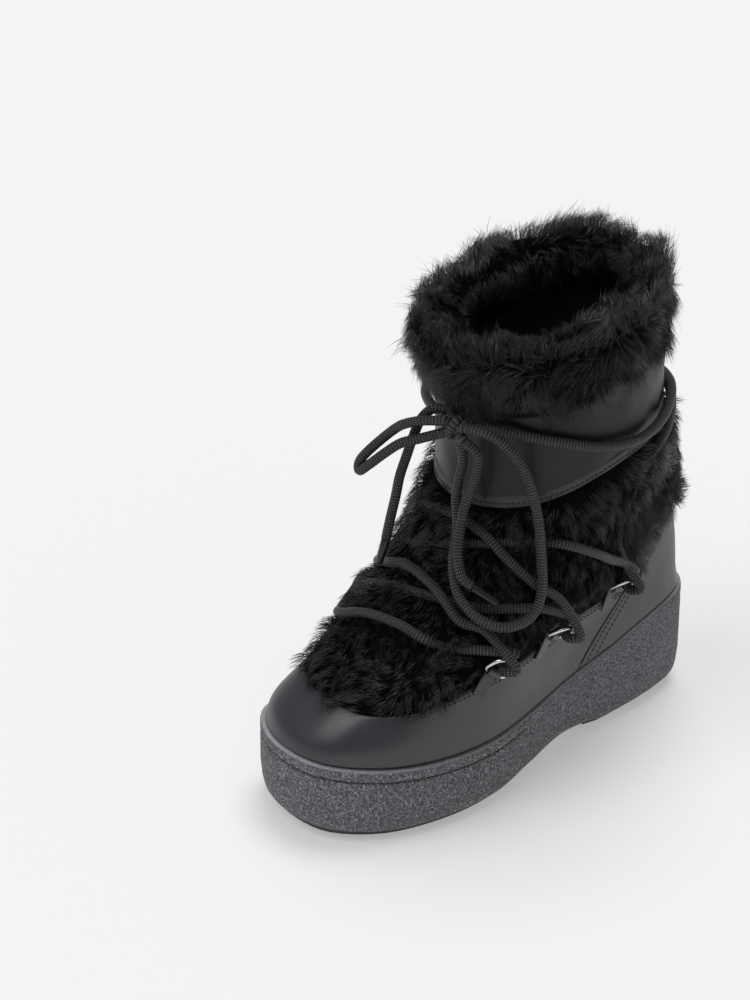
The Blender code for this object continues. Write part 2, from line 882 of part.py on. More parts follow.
# Routes of the lace. A stop at a ring is its side and number, any other point is the column,
# the ring number and the distance from the upper.
LACE_RADIUS = LACE_DIAMETER / 2
LACE_SPACING = 18.0
LACE_TURN = math.cos(math.radians(31))
LACE_FIRST = (
    (0.45, 11.42, 9.0),
    (38.2, 11.35, 8.8),
    (35.0, 11.0, 8.5),
    (31.5, 10.5, 8.4),
    (28.0, 10.15, 8.5),
    (24.0, 9.95, 8.5),
    (20.0, 9.8, 8.5),
    (17.0, 9.55, 8.6),
    (14.5, 9.2, 9.3),
    (12.4, 8.9, 10.8),
    (11.3, 8.3, 12.5),
    (11.3, 7.0, 12.5),
    (12.0, 5.6, 13.0),
    ("medial", 3),
    (12.0, 5.4, 12.0),
    (9.5, 6.6, 11.8),
    (6.6, 7.5, 11.8),
    (3.0, 7.8, 11.8),
    (39.8, 7.6, 11.8),
    (37.0, 6.9, 11.8),
    (34.5, 5.7, 12.0),
    ("lateral", 2),
    (34.3, 5.2, 13.0),
    (36.5, 6.1, 11.8),
    (39.5, 6.6, 11.8),
    (2.5, 6.2, 11.8),
    (4.5, 5.5, 12.4),
    ("medial", 1),
    (4.5, 4.9, 12.2),
    (2.2, 5.2, 11.8),
    (0.0, 5.4, 11.8),
    (37.6, 5.2, 11.8),
    (36.1, 4.7, 12.0),
)
LACE_SECOND = (
    ("lateral", 1),
    (36.0, 5.2, 13.0),
    (38.2, 6.0, 11.8),
    (0.8, 6.5, 11.8),
    (4.0, 6.3, 11.8),
    (6.8, 5.7, 12.0),
    ("medial", 2),
    (7.6, 5.9, 13.0),
    (5.6, 6.9, 11.8),
    (3.0, 7.6, 11.8),
    (39.7, 8.0, 11.8),
    (35.6, 7.8, 11.8),
    (31.8, 7.0, 11.8),
    (29.2, 5.7, 12.5),
    ("lateral", 3),
    (28.8, 6.0, 13.0),
    (28.6, 7.4, 12.5),
    (27.0, 8.6, 12.0),
    (25.0, 9.2, 9.6),
    (22.4, 9.4, 8.6),
    (19.5, 9.65, 8.5),
    (16.5, 9.85, 8.5),
    (13.6, 9.85, 8.5),
    (11.0, 9.95, 8.5),
    (8.4, 10.35, 8.5),
    (6.2, 10.85, 8.5),
    (4.2, 11.2, 8.5),
    (2.25, 11.4, 9.2),
)

# The bow: its knot, and the routes of its loops and ends in millimetres.
KNOT_AT = (11.0, -33.5, 214.0)
KNOT_HALF = (8.5, 6.5, 7.5)
LOOP_SHORT = (
    (4.0, -39.0, 216.4),
    (-4.0, -44.5, 215.0),
    (-12.0, -48.5, 211.5),
    (-18.0, -50.0, 207.0),
    (-25.0, -54.0, 199.0),
    (-31.0, -60.0, 190.0),
    (-34.0, -62.0, 184.0),
    (-32.0, -63.5, 180.5),
    (-27.0, -62.0, 185.0),
    (-19.0, -57.0, 194.0),
    (-12.0, -52.0, 201.0),
    (-4.0, -46.5, 205.0),
    (5.1, -38.5, 209.4),
)
LOOP_LONG = (
    (15.0, -34.0, 206.2),
    (16.0, -33.0, 196.0),
    (14.0, -34.0, 184.0),
    (14.0, -35.5, 172.0),
    (18.0, -38.0, 157.0),
    (23.5, -45.5, 143.5),
    (32.5, -51.0, 131.5),
    (43.5, -51.5, 124.0),
    (53.0, -47.5, 119.0),
    (59.5, -39.5, 116.5),
    (62.0, -28.0, 117.0),
    (61.5, -19.5, 122.0),
    (59.0, -14.0, 132.0),
    (55.0, -12.0, 151.0),
    (52.0, -11.5, 167.0),
    (49.0, -13.0, 181.0),
    (46.0, -15.5, 193.0),
    (42.0, -20.0, 204.0),
    (36.0, -26.0, 213.0),
    (29.0, -31.5, 217.0),
    (20.6, -34.4, 216.8),
)
END_FRONT = (
    (1.6, -32.4, 219.6),
    (-4.0, -36.0, 219.5),
    (-9.5, -39.5, 213.0),
    (-11.5, -43.5, 203.0),
    (-14.0, -46.0, 191.0),
    (-16.0, -49.0, 179.0),
    (-17.0, -51.0, 167.0),
    (-18.5, -53.0, 155.0),
    (-19.0, -56.0, 142.0),
)
END_FRONT_TIP = (-20.0, -60.0, 128.0)
END_SIDE = (
    (20.0, -35.2, 208.8),
    (25.0, -31.0, 202.0),
    (24.5, -31.0, 192.0),
    (22.5, -33.0, 180.0),
    (21.5, -36.5, 171.0),
    (23.0, -40.5, 160.0),
    (27.0, -45.5, 149.0),
    (34.0, -48.5, 139.0),
    (39.5, -46.0, 134.5),
)
END_SIDE_TIP = (51.0, -38.5, 126.5)
AGLET_RADIUS = 2.3


def ring_column(side, number):
    return next(c for name, n, c in RING_COLUMNS if (name, n) == (side, number))


def through_ring(side, number):
    """The lace's turn over a ring's arch, from outside it, through it, to behind it."""
    centre, _, up, out = ring_plane(ring_column(side, number))
    reach = WIRE_RADIUS + LACE_RADIUS + RING_PLAY
    arch = centre + RING_TALL * up
    turns = np.radians((-35, 10, 50, 90, 130, 170, 215))
    return [arch + reach * (math.cos(t) * out - math.sin(t) * up) for t in turns]


def route_points(route):
    """The route's points in millimetres."""
    found = []
    outward = True
    for stop in route:
        if isinstance(stop[0], str):
            turn = through_ring(*stop)
            found += turn if outward else turn[::-1]
            outward = not outward
        else:
            found.append(on_upper(*stop))
    return found


def thinned(points):
    """Fewer points along a smooth curve: one at each small turn, and at a spacing where straight."""
    kept = [points[0]]
    way = points[1] - points[0]
    way /= np.linalg.norm(way)
    for i in range(1, len(points) - 1):
        ahead = points[i + 1] - points[i]
        ahead /= np.linalg.norm(ahead)
        far = np.linalg.norm(points[i] - kept[-1])
        if far > LACE_SPACING or (way @ ahead < LACE_TURN and far > LACE_RADIUS / 2):
            kept.append(points[i])
            way = ahead
    kept.append(points[-1])
    return kept


def lace(name, points, where, look):
    return tube(name, thinned(spline(points, 8)), LACE_RADIUS, where, look)


def meshed(piece, where):
    """The evaluated curve as a closed mesh object of the same name."""
    bpy.context.view_layer.update()
    graph = bpy.context.evaluated_depsgraph_get()
    mesh = bpy.data.meshes.new_from_object(piece.evaluated_get(graph))
    work = bmesh.new()
    work.from_mesh(mesh)
    bmesh.ops.remove_doubles(work, verts=work.verts, dist=0.00001)
    bmesh.ops.recalc_face_normals(work, faces=work.faces)
    work.to_mesh(mesh)
    work.free()
    name = piece.name
    bpy.data.objects.remove(piece, do_unlink=True)
    made = bpy.data.objects.new(name, mesh)
    where.objects.link(made)
    return made


def make_knot(where, look):
    bpy.ops.mesh.primitive_uv_sphere_add(segments=14, ring_count=9, radius=1.0)
    knot = bpy.context.object
    knot.name = "lace_knot"
    for vert in knot.data.vertices:
        vert.co = [half * MM * value for half, value in zip(KNOT_HALF, vert.co)]
    knot.location = [value * MM for value in KNOT_AT]
    knot.data.shade_smooth()
    knot.data.materials.append(look)
    for holder in list(knot.users_collection):
        holder.objects.unlink(knot)
    where.objects.link(knot)
    return knot


def make_aglet(name, route, tip, where, look):
    """The stiff tip of a lace's end, set a hair's breadth past the cord."""
    start, tip = np.array(route[-1]), np.array(tip)
    way = (tip - start) / np.linalg.norm(tip - start)
    return tube(name, [start + 2 * GAP * way, (start + tip) / 2, tip], AGLET_RADIUS, where, look)


def make_bow(where, look):
    make_knot(where, look)
    lace("lace_loop_short", LOOP_SHORT, where, look)
    lace("lace_loop_long", LOOP_LONG, where, look)
    lace("lace_end_front", END_FRONT, where, look)
    lace("lace_end_side", END_SIDE, where, look)
    make_aglet("aglet_front", END_FRONT, END_FRONT_TIP, where, look)
    make_aglet("aglet_side", END_SIDE, END_SIDE_TIP, where, look)


def make_crossings(where, cutters, look):
    first = meshed(lace("lace_crossings", route_points(LACE_FIRST), where, look), where)
    second = meshed(lace("second_lace_run", route_points(LACE_SECOND), cutters, look), cutters)
    second.hide_render = True
    second.display_type = "WIRE"
    cut(first, second, "UNION")
    return first


def main():
    for old in list(bpy.data.objects):
        bpy.data.objects.remove(old, do_unlink=True)
    boot = collection("apres_ski_boot")
    cutters = collection("cutters")
    leather = material("rand_leather", (0.045, 0.046, 0.05), 0.55)
    shell = material("upper_shell", (0.03, 0.03, 0.033), 0.7)
    fur = material("black_fur", (0.012, 0.012, 0.013), 0.6)
    coated = material("coated_band", (0.07, 0.072, 0.08), 0.45)
    foam = material("sole_foam", (0.14, 0.14, 0.145), 0.8)
    rubber = material("tread_rubber", (0.05, 0.05, 0.054), 0.7)
    lining = material("lining", (0.05, 0.05, 0.05), 0.9)
    metal = material("ring_metal", (0.8, 0.8, 0.8), 0.2, 1.0)
    cord = material("lace_cord", (0.015, 0.015, 0.017), 0.55)
    make_from_sections("cup_sole", SOLE_SECTION, boot, foam)
    make_from_sections("insole", INSOLE_SECTION, boot, lining)
    make_upper(boot, shell)
    make_rand(boot, leather)
    make_counter(boot, leather)
    bays = fur_bays(cutters)
    cut(make_vamp_fur(boot, fur), bays)
    cut(make_quarter_fur(boot, fur), bays)
    make_band(boot, coated)
    make_collar(boot, fur)
    make_tread("tread_forefoot", FOREFOOT_COLUMNS, FOREFOOT_ROWS, boot, cutters, rubber)
    make_tread("tread_heel", HEEL_COLUMNS, HEEL_ROWS, boot, cutters, rubber)
    for side, number, column in RING_COLUMNS:
        make_ring(side, number, column, boot, metal)
        make_tab(side, number, column, boot, leather)
    make_crossings(boot, cutters, cord)
    make_bow(boot, cord)


if __name__ == "__main__":
    main()
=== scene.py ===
"""Looks of the apres-ski boot: crepe foam sole, rubberised leather, coated band, fur, rings, lace."""

import json
import math

import bmesh
import bpy
import numpy as np
from mathutils import Matrix, Vector

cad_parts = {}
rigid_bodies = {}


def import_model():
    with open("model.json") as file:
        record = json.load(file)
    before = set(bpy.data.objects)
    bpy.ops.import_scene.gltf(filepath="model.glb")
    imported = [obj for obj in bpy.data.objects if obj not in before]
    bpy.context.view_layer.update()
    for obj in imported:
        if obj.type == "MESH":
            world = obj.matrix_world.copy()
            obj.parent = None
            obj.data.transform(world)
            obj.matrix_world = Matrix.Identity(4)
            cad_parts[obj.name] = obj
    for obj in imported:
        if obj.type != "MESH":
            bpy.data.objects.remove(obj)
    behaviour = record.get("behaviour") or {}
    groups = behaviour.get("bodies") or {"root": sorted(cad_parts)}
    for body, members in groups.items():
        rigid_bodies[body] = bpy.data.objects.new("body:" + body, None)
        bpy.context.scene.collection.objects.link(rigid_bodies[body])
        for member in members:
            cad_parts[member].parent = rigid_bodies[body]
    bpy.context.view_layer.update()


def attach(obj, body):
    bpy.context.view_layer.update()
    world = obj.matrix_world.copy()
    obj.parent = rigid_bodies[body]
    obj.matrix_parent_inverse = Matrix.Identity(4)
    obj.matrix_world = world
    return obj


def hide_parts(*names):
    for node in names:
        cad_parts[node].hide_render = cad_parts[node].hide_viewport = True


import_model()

bl_info = {
    "name": "Apres-ski boot",
    "version": (1, 0, 0),
    "blender": (4, 5, 0),
    "location": "View3D > Sidebar > Boot",
    "description": "Dresses the packed boot with foam, leather, fur, rings and braided lace",
    "category": "Object",
}

MM = 0.001
COLUMNS = 40

# The sole's outline at its lip, from the toe along the inner side to the heel and back.
SOLE_OUTLINE = (
    # x, y
    (-2.0, -139.0), (22.0, -131.5), (42.5, -106.0), (52.5, -72.0), (53.5, -39.0), (46.0, -5.0),
    (38.0, 30.0), (36.0, 69.0), (33.0, 104.0), (24.0, 130.0), (0.0, 139.0), (-25.5, 130.5), (-35.0, 105.0),
    (-37.5, 72.0), (-39.0, 33.0), (-45.5, -7.0), (-53.5, -47.0), (-55.0, -87.0), (-48.5, -118.0),
    (-27.5, -134.5),
)
TOE_Y = -139.0
HEEL_Y = 139.0
LIP_HEIGHT = (
    # y, z
    (-139.0, 49.0), (-110.0, 45.5), (-72.0, 42.5), (-20.0, 42.0), (20.0, 44.0), (60.0, 51.0), (92.0, 59.0),
    (139.0, 65.5),
)
UNDERSIDE_RISE = (
    # y, rise
    (-139.0, 3.0), (-126.0, 1.2), (-110.0, 0.3), (-96.0, 0.0), (-30.0, 0.0), (0.0, 2.2), (25.0, 4.0),
    (45.0, 2.5), (62.0, 0.0), (118.0, 0.0), (139.0, 2.2),
)
UPPER_RINGS = (
    # front_y, front_z, back_y, back_z, share, half, ridge, turned
    (-135.0, 49.3, 135.0, 65.8, 0.930, 47.0, 0.0, 0.00),
    (-131.0, 58.0, 132.0, 77.0, 0.922, 47.0, 1.5, 0.00),
    (-120.5, 68.0, 131.5, 87.0, 0.890, 47.0, 4.0, 0.02),
    (-106.0, 77.5, 130.5, 98.0, 0.870, 47.0, 6.5, 0.08),
    (-90.0, 87.0, 128.5, 110.0, 0.855, 46.0, 7.5, 0.18),
    (-72.5, 98.0, 125.5, 122.0, 0.840, 46.0, 7.0, 0.30),
    (-55.0, 111.0, 122.0, 135.0, 0.835, 46.5, 5.0, 0.45),
    (-39.5, 127.0, 118.0, 149.0, 0.825, 48.0, 4.0, 0.62),
    (-28.0, 145.0, 113.5, 166.0, 0.820, 49.5, 3.0, 0.80),
    (-21.5, 164.0, 109.5, 186.0, 0.820, 50.5, 1.5, 0.93),
    (-18.5, 184.0, 106.0, 208.0, 0.820, 51.0, 0.0, 1.00),
    (-18.5, 205.0, 104.5, 231.0, 0.820, 52.0, -1.0, 1.00),
    (-20.5, 226.0, 104.0, 252.0, 0.820, 53.0, -2.0, 1.00),
    (-23.5, 246.0, 104.0, 271.0, 0.820, 54.5, -2.5, 1.00),
)
TOP_RING = len(UPPER_RINGS) - 1
WALL = 2.2
# The lower rings that follow the lip's own rise and fall.
SAG_RINGS = 5
FRONT_Y, FRONT_Z, BACK_Y, BACK_Z, SHARE, HALF_WIDTH, RIDGE, TURNED = range(8)

# Edges on the upper, in ring numbers at stations round the boot (turn 0 toe, 0.5 heel).
RAND_TOP = ((0.000, 2.65), (0.090, 2.60), (0.120, 3.05), (0.160, 3.40), (0.220, 3.60), (0.280, 3.30),
            (0.360, 2.85))
COUNTER_TOP = ((0.340, 3.00), (0.365, 3.80), (0.400, 4.75), (0.450, 5.00), (0.500, 5.05))
BAND_LOW = ((0.000, 9.00), (0.120, 9.05), (0.250, 9.40), (0.350, 9.25), (0.500, 9.25))
BAND_HIGH = ((0.000, 11.78), (0.120, 11.62), (0.500, 11.65))
COLLAR_HEM = ((0.000, 11.95), (0.120, 11.75), (0.500, 11.75))
SEAM_FOOT = 12.3
SEAM_LEAN = 0.68
SEAM_STEP = 14.75
VAMP_TO = 12


def along(table, where):
    """The table's second column at values of its first, as a smooth curve."""
    places = np.array([row[0] for row in table], float)
    values = np.array([row[1] for row in table], float)
    where = np.clip(np.asarray(where, float), places[0], places[-1])
    at = np.clip(np.searchsorted(places, where) - 1, 0, len(places) - 2)
    span = places[at + 1] - places[at]
    t = (where - places[at]) / span
    slopes = np.empty(len(places))
    slopes[1:-1] = (values[2:] - values[:-2]) / (places[2:] - places[:-2])
    slopes[0] = (values[1] - values[0]) / (places[1] - places[0])
    slopes[-1] = (values[-1] - values[-2]) / (places[-1] - places[-2])
    start, end = slopes[at] * span, slopes[at + 1] * span
    return (
        (2 * t**3 - 3 * t**2 + 1) * values[at]
        + (t**3 - 2 * t**2 + t) * start
        + (3 * t**2 - 2 * t**3) * values[at + 1]
        + (t**3 - t**2) * end
    )


def round_boot(table, column):
    """An edge's ring number at columns, alike on both sides."""
    turn = np.mod(column, COLUMNS) / COLUMNS
    return along(table, np.minimum(turn, 1 - turn))


def spline(points, steps, closed=False):
    """Points along a smooth curve through the given ones."""
    points = np.array(points, float)
    if closed:
        before, after, beyond = np.roll(points, 1, 0), np.roll(points, -1, 0), np.roll(points, -2, 0)
        here = points
    else:
        padded = np.vstack([2 * points[0] - points[1], points, 2 * points[-1] - points[-2]])
        before, here, after, beyond = padded[:-3], padded[1:-2], padded[2:-1], padded[3:]
    t = (np.arange(steps) / steps)[None, :, None]
    a, b, c, d = (p[:, None, :] for p in (before, here, after, beyond))
    found = 0.5 * (
        2 * b + (c - a) * t + (2 * a - 5 * b + 4 * c - d) * t**2 + (3 * b - a - 3 * c + d) * t**3
    )
    found = found.reshape(-1, points.shape[1])
    return found if closed else np.vstack([found, points[-1]])


def run_along(points):
    """The distance along a line at each of its points."""
    steps = np.linalg.norm(np.diff(points, axis=0), axis=1)
    return np.concatenate([[0.0], np.cumsum(steps)])


def read_along(at, run, values):
    """Points or directions of a line, read at distances along it."""
    return np.stack([np.interp(at, run, values[:, k]) for k in range(3)], axis=1)


def inward(points):
    """Directions into a closed outline at its points."""
    way = np.roll(points, -1, axis=0) - np.roll(points, 1, axis=0)
    way /= np.linalg.norm(way, axis=1)[:, None]
    return np.stack([-way[:, 1], way[:, 0]], axis=1)


def outline(inset=0.0, steps=2):
    """The sole's outline moved inwards, with a number of points for each row of its table."""
    points = spline(SOLE_OUTLINE, steps, closed=True)
    return points + inset * inward(points)


def upper_grid():
    """Points and outward directions of the upper's outer face, one row a ring."""
    base = outline()
    share_back = (base[:, 1] - TOE_Y) / (HEEL_Y - TOE_Y)
    turn = 2 * math.pi * np.arange(COLUMNS) / COLUMNS
    rows = []
    for ring in UPPER_RINGS:
        turned = ring[TURNED]
        back = (1 - turned) * share_back + turned * (0.5 - 0.5 * np.cos(turn))
        across = (1 - turned) * base[:, 0] * ring[SHARE] + turned * ring[HALF_WIDTH] * np.sin(turn)
        across = across + ring[RIDGE] * (1 - back)
        deep = ring[FRONT_Y] + back * (ring[BACK_Y] - ring[FRONT_Y])
        level = ring[FRONT_Z] + back * (ring[BACK_Z] - ring[FRONT_Z])
        front, heel = along(LIP_HEIGHT, TOE_Y), along(LIP_HEIGHT, HEEL_Y)
        sag = along(LIP_HEIGHT, deep) - (front + back * (heel - front))
        fade = max(0.0, 1 - len(rows) / SAG_RINGS)
        rows.append(np.stack([across, deep, level + fade * sag], axis=1))
    points = np.array(rows)
    round_way = np.roll(points, -1, axis=1) - np.roll(points, 1, axis=1)
    outward = np.cross(round_way, np.gradient(points, axis=0))
    outward[0, :, 2] = 0.0
    outward /= np.linalg.norm(outward, axis=2)[:, :, None]
    return points, outward


GRID, OUTWARD = upper_grid()


def smooth_weights(t):
    """Weights of four neighbours for a smooth curve through the middle two."""
    return (
        0.5 * (-t + 2 * t**2 - t**3),
        0.5 * (2 - 5 * t**2 + 3 * t**3),
        0.5 * (t + 4 * t**2 - 3 * t**3),
        0.5 * (-(t**2) + t**3),
    )


def on_upper(column, ring, offset=0.0):
    """Points on the upper, or at a distance outside it, for arrays of columns and rings."""
    column, ring, offset = np.broadcast_arrays(
        np.asarray(column, float), np.asarray(ring, float), np.asarray(offset, float)
    )
    ring = np.clip(ring, 0.0, TOP_RING)
    low = np.minimum(ring.astype(int), TOP_RING - 1)
    left = np.floor(column).astype(int)
    place = np.zeros(column.shape + (3,))
    out = np.zeros(column.shape + (3,))
    up_weights = smooth_weights(ring - low)
    side_weights = smooth_weights(column - left)
    for j, up_weight in zip((-1, 0, 1, 2), up_weights):
        row = low + j
        inside = np.clip(row, 0, TOP_RING)
        mirror = np.clip(2 * inside - row, 0, TOP_RING)
        for i, side_weight in zip((-1, 0, 1, 2), side_weights):
            at = np.mod(left + i, COLUMNS)
            weight = (up_weight * side_weight)[..., None]
            edge = (row != inside)[..., None]
            point = np.where(edge, 2 * GRID[inside, at] - GRID[mirror, at], GRID[inside, at])
            place += weight * point
            out += weight * OUTWARD[inside, at]
    out /= np.linalg.norm(out, axis=-1)[..., None]
    return place + offset[..., None] * out


def linear(hex_colour):
    """An sRGB hex colour as linear red, green and blue."""
    values = [int(hex_colour[i : i + 2], 16) / 255 for i in (1, 3, 5)]
    return [v / 12.92 if v <= 0.04045 else ((v + 0.055) / 1.055) ** 2.4 for v in values]


WAVES = 14
WAVES_HIGH = 4.5


def noise(points, size, seed):
    """Smooth values from -1 to 1 at points, as a sum of seeded waves about a size in mm."""
    draw = np.random.default_rng(seed)
    found = np.zeros(points.shape[:-1])
    for _ in range(WAVES):
        way = draw.normal(size=3)
        way *= draw.uniform(0.6, 1.6) * 2 * math.pi / size / np.linalg.norm(way)
        found += np.sin(points @ way + draw.uniform(0, 2 * math.pi))
    return np.clip(found / WAVES_HIGH, -1, 1)


def add_node(tree, kind, settings=None, sockets=None):
    """One node with its settings, and its sockets set to a value or linked to another node's."""
    made = tree.nodes.new(kind)
    for name, value in (settings or {}).items():
        setattr(made, name, value)
    for name, value in (sockets or {}).items():
        if isinstance(value, bpy.types.NodeSocket):
            tree.links.new(value, made.inputs[name])
        else:
            made.inputs[name].default_value = value
    return made


def new_material(name, colour, roughness, sockets=None):
    """A material and the parts of it that its pattern links to."""
    made = bpy.data.materials.new(name)
    made.use_nodes = True
    shader = made.node_tree.nodes["Principled BSDF"]
    values = {"Base Color": (*linear(colour), 1.0), "Roughness": roughness, **(sockets or {})}
    for socket, value in values.items():
        shader.inputs[socket].default_value = value
    return made, made.node_tree, shader


def relief(tree, shader, height, deep_mm, strength=1.0, under=None):
    """Gives the surface a relief, over a coarser one where there is one."""
    sockets = {"Height": height, "Distance": deep_mm * MM, "Strength": strength}
    if under is not None:
        sockets["Normal"] = under
    made = add_node(tree, "ShaderNodeBump", None, sockets)
    tree.links.new(made.outputs["Normal"], shader.inputs["Normal"])
    return made.outputs["Normal"]


def two_tone(tree, shader, share, dark, light):
    """Mixes the base colour from two colours by a share."""
    colours = {0: share, 6: (*linear(dark), 1.0), 7: (*linear(light), 1.0)}
    mixed = add_node(tree, "ShaderNodeMix", {"data_type": "RGBA"}, colours)
    tree.links.new(mixed.outputs[2], shader.inputs["Base Color"])


def grain(tree, size_mm, detail=2.0, rough=0.5):
    """A cloudy pattern about a size in mm, in the piece's Object coordinates."""
    place = tree.nodes.get("place_mm") or add_node(
        tree, "ShaderNodeVectorMath", {"operation": "SCALE", "name": "place_mm"},
        {0: add_node(tree, "ShaderNodeTexCoord").outputs["Object"], "Scale": 1 / MM},
    )
    sockets = {"Vector": place.outputs[0], "Scale": 1 / size_mm, "Detail": detail, "Roughness": rough}
    return add_node(tree, "ShaderNodeTexNoise", None, sockets).outputs["Fac"]


def grained(name, colour, roughness, pattern, deep_mm, strength, sockets=None):
    """A material of one colour with one grain."""
    made, tree, shader = new_material(name, colour, roughness, sockets)
    relief(tree, shader, grain(tree, *pattern), deep_mm, strength)
    return made


def crepe_foam():
    """Moulded crepe foam rubber: matt mid grey, wormy pits about a millimetre wide, painted darker in the
    pits as shade and lighter on the ridges as highlight.
    """
    made, tree, shader = new_material("crepe_foam_rubber", "#707074", 0.8)
    pits = add_node(tree, "ShaderNodeMapRange", None, {0: grain(tree, 1.25, 3.0, 0.65), 1: 0.34, 2: 0.6})
    rim = add_node(tree, "ShaderNodeAttribute", {"attribute_name": "rim"}).outputs["Fac"]
    smooth = add_node(tree, "ShaderNodeMath", {"operation": "MAXIMUM"}, {0: pits.outputs[0], 1: rim})
    # The relief's height also sets the colour: painted shade in the pits, painted highlight on the ridges
    # and on the smooth lip.
    two_tone(tree, shader, smooth.outputs[0], "#505055", "#a6a6ac")
    relief(tree, shader, smooth.outputs[0], 1.6)
    return made


def tread_rubber():
    """Solid moulded rubber: darker, satin, with a faint dusty mottle."""
    made, tree, shader = new_material("solid_tread_rubber", "#3d3d42", 0.6)
    two_tone(tree, shader, grain(tree, 9.0, 3.0), "#343438", "#47474c")
    relief(tree, shader, grain(tree, 0.8), 0.08, 0.5)
    return made


def rubberised_leather():
    """Rubber-coated leather: charcoal, soft broad highlight, hardly any grain."""
    made, tree, shader = new_material("rubberised_leather", "#2d2e34", 0.4, {"Specular IOR Level": 0.72})
    two_tone(tree, shader, grain(tree, 30.0), "#292a30", "#313238")
    cloud = {0: grain(tree, 14.0, 3.0), 1: 0.3, 2: 0.7, 3: 0.34, 4: 0.42}
    rough = add_node(tree, "ShaderNodeMapRange", None, cloud)
    tree.links.new(rough.outputs[0], shader.inputs["Roughness"])
    wave = relief(tree, shader, grain(tree, 16.0, 1.0), 0.35, 0.35)
    relief(tree, shader, grain(tree, 0.55), 0.05, 0.35, wave)
    return made


def coated_leather(name, dark, light, roughness):
    """Smooth coated leather: satin, slightly wavy over its padding."""
    made, tree, shader = new_material(name, dark, roughness, {"Specular IOR Level": 0.35})
    two_tone(tree, shader, grain(tree, 18.0), dark, light)
    wave = relief(tree, shader, grain(tree, 20.0, 1.0), 0.6, 0.3)
    relief(tree, shader, grain(tree, 0.7), 0.04, 0.3, wave)
    return made


def fur_hair():
    """Black acrylic fur, glossy: painted shade makes it near black at the root and a painted sheen greys it
    towards the tip.
    """
    made, tree, shader = new_material("black_acrylic_hair", "#0a0a0b", 0.29, {"Specular IOR Level": 0.75})
    read = {}
    for n, label in enumerate(("along", "tone")):
        read[n] = add_node(tree, "ShaderNodeAttribute", {"attribute_name": label}).outputs["Fac"]
    share = add_node(tree, "ShaderNodeMath", {"operation": "MULTIPLY"}, read)
    # Painted shade at the root and painted sheen towards the tip, scaled by each bunch's random tone.
    two_tone(tree, shader, share.outputs[0], "#040404", "#29292b")
    return made


def fur_backing():
    """The knitted backing under the fur, seen only as dark between hairs."""
    return grained("fur_backing", "#060606", 0.9, (1.6, 3.0), 0.8, 0.8, {"Specular IOR Level": 0.1})


def wire_steel():
    """Polished nickel-plated steel wire: mirror bright, with the faint waves of drawn wire."""
    return grained("polished_wire_steel", "#d8d6d2", 0.16, (2.0, 2.0), 0.03, 0.4, {"Metallic": 1.0})


def braided_cord():
    """Round braid of polyester yarn: raised plaits 1.7 mm long, 16 round the cord, near black, with painted
    highlights on the plaits' tops and painted shade between them.
    """
    made, tree, shader = new_material("braided_polyester_cord", "#141415", 0.5)
    place = add_node(tree, "ShaderNodeUVMap", {"uv_map": "UVMap"}).outputs["UV"]
    parts = add_node(tree, "ShaderNodeSeparateXYZ", None, {0: place}).outputs
    plaits, pitch_mm = 8.0, 3.4
    turn = add_node(
        tree, "ShaderNodeMath", {"operation": "MULTIPLY"}, {0: parts[0], 1: plaits * 2 * math.pi}
    ).outputs[0]
    waves = {}
    for n, sign in enumerate((1, -1)):
        winding = {0: parts[1], 1: sign * 2 * math.pi / pitch_mm, 2: turn}
        run = add_node(tree, "ShaderNodeMath", {"operation": "MULTIPLY_ADD"}, winding).outputs[0]
        waves[n] = add_node(tree, "ShaderNodeMath", {"operation": "SINE"}, {0: run}).outputs[0]
    product = add_node(tree, "ShaderNodeMath", {"operation": "MULTIPLY"}, waves).outputs[0]
    raised = add_node(tree, "ShaderNodeMapRange", None, {0: product, 1: -0.5, 2: 0.9})
    lit = add_node(tree, "ShaderNodeMapRange", None, {0: product, 1: 0.2, 2: 0.95})
    # Painted highlight on the plaits' tops, painted shade between them.
    two_tone(tree, shader, lit.outputs[0], "#060607", "#76767a")
    relief(tree, shader, raised.outputs[0], 0.55, 0.95)
    return made


def thread(name, colour):
    """Waxed sewing thread: satin, with the fine unevenness of its twist."""
    return grained(name, colour, 0.5, (0.4,), 0.05, 0.5)


def lining_felt(name, colour):
    """Brushed felt lining: matt, softly mottled."""
    return grained(name, colour, 0.95, (1.4, 4.0, 0.7), 0.6, 0.7, {"Sheen Weight": 0.2})


def aglet_plastic():
    """Shrunk plastic tip: black and glossy, hardly uneven."""
    return grained("shrunk_plastic_tip", "#18181a", 0.28, (3.0,), 0.08, 0.4)


MAKERS = {
    "foam": crepe_foam,
    "tread": tread_rubber,
    "leather": rubberised_leather,
    "band": lambda: coated_leather("coated_band_leather", "#0e0e10", "#151518", 0.42),
    "binding": lambda: coated_leather("coated_binding_leather", "#3a3a3f", "#434348", 0.45),
    "hair": fur_hair,
    "backing": fur_backing,
    "steel": wire_steel,
    "cord": braided_cord,
    "thread": lambda: thread("black_waxed_thread", "#101012"),
    "seam": lambda: thread("charcoal_waxed_thread", "#18181a"),
    "felt": lambda: lining_felt("felt_lining", "#1b1b1d"),
    "shell": lambda: lining_felt("pile_lining", "#121213"),
    "tip": aglet_plastic,
}
LOOKS = {}


def look(name):
    """The material of that name, made when first asked for."""
    if name not in LOOKS:
        LOOKS[name] = MAKERS[name]()
    return LOOKS[name]


def new_object(name, data):
    """A new object at the origin, in the scene."""
    made = bpy.data.objects.new(name, data)
    bpy.context.scene.collection.objects.link(made)
    return made


def finished(name, mesh, material, smooth, recalculate=True):
    """An object from a closed mesh, its faces turned outwards, smooth up to an angle in degrees."""
    work = bmesh.new()
    work.from_mesh(mesh)
    if recalculate:
        bmesh.ops.recalc_face_normals(work, faces=work.faces)
    if work.calc_volume(signed=True) < 0:
        bmesh.ops.reverse_faces(work, faces=work.faces)
    work.to_mesh(mesh)
    work.free()
    mesh.shade_smooth()
    mesh.set_sharp_from_angle(angle=math.radians(smooth))
    mesh.materials.append(material)
    return new_object(name, mesh)


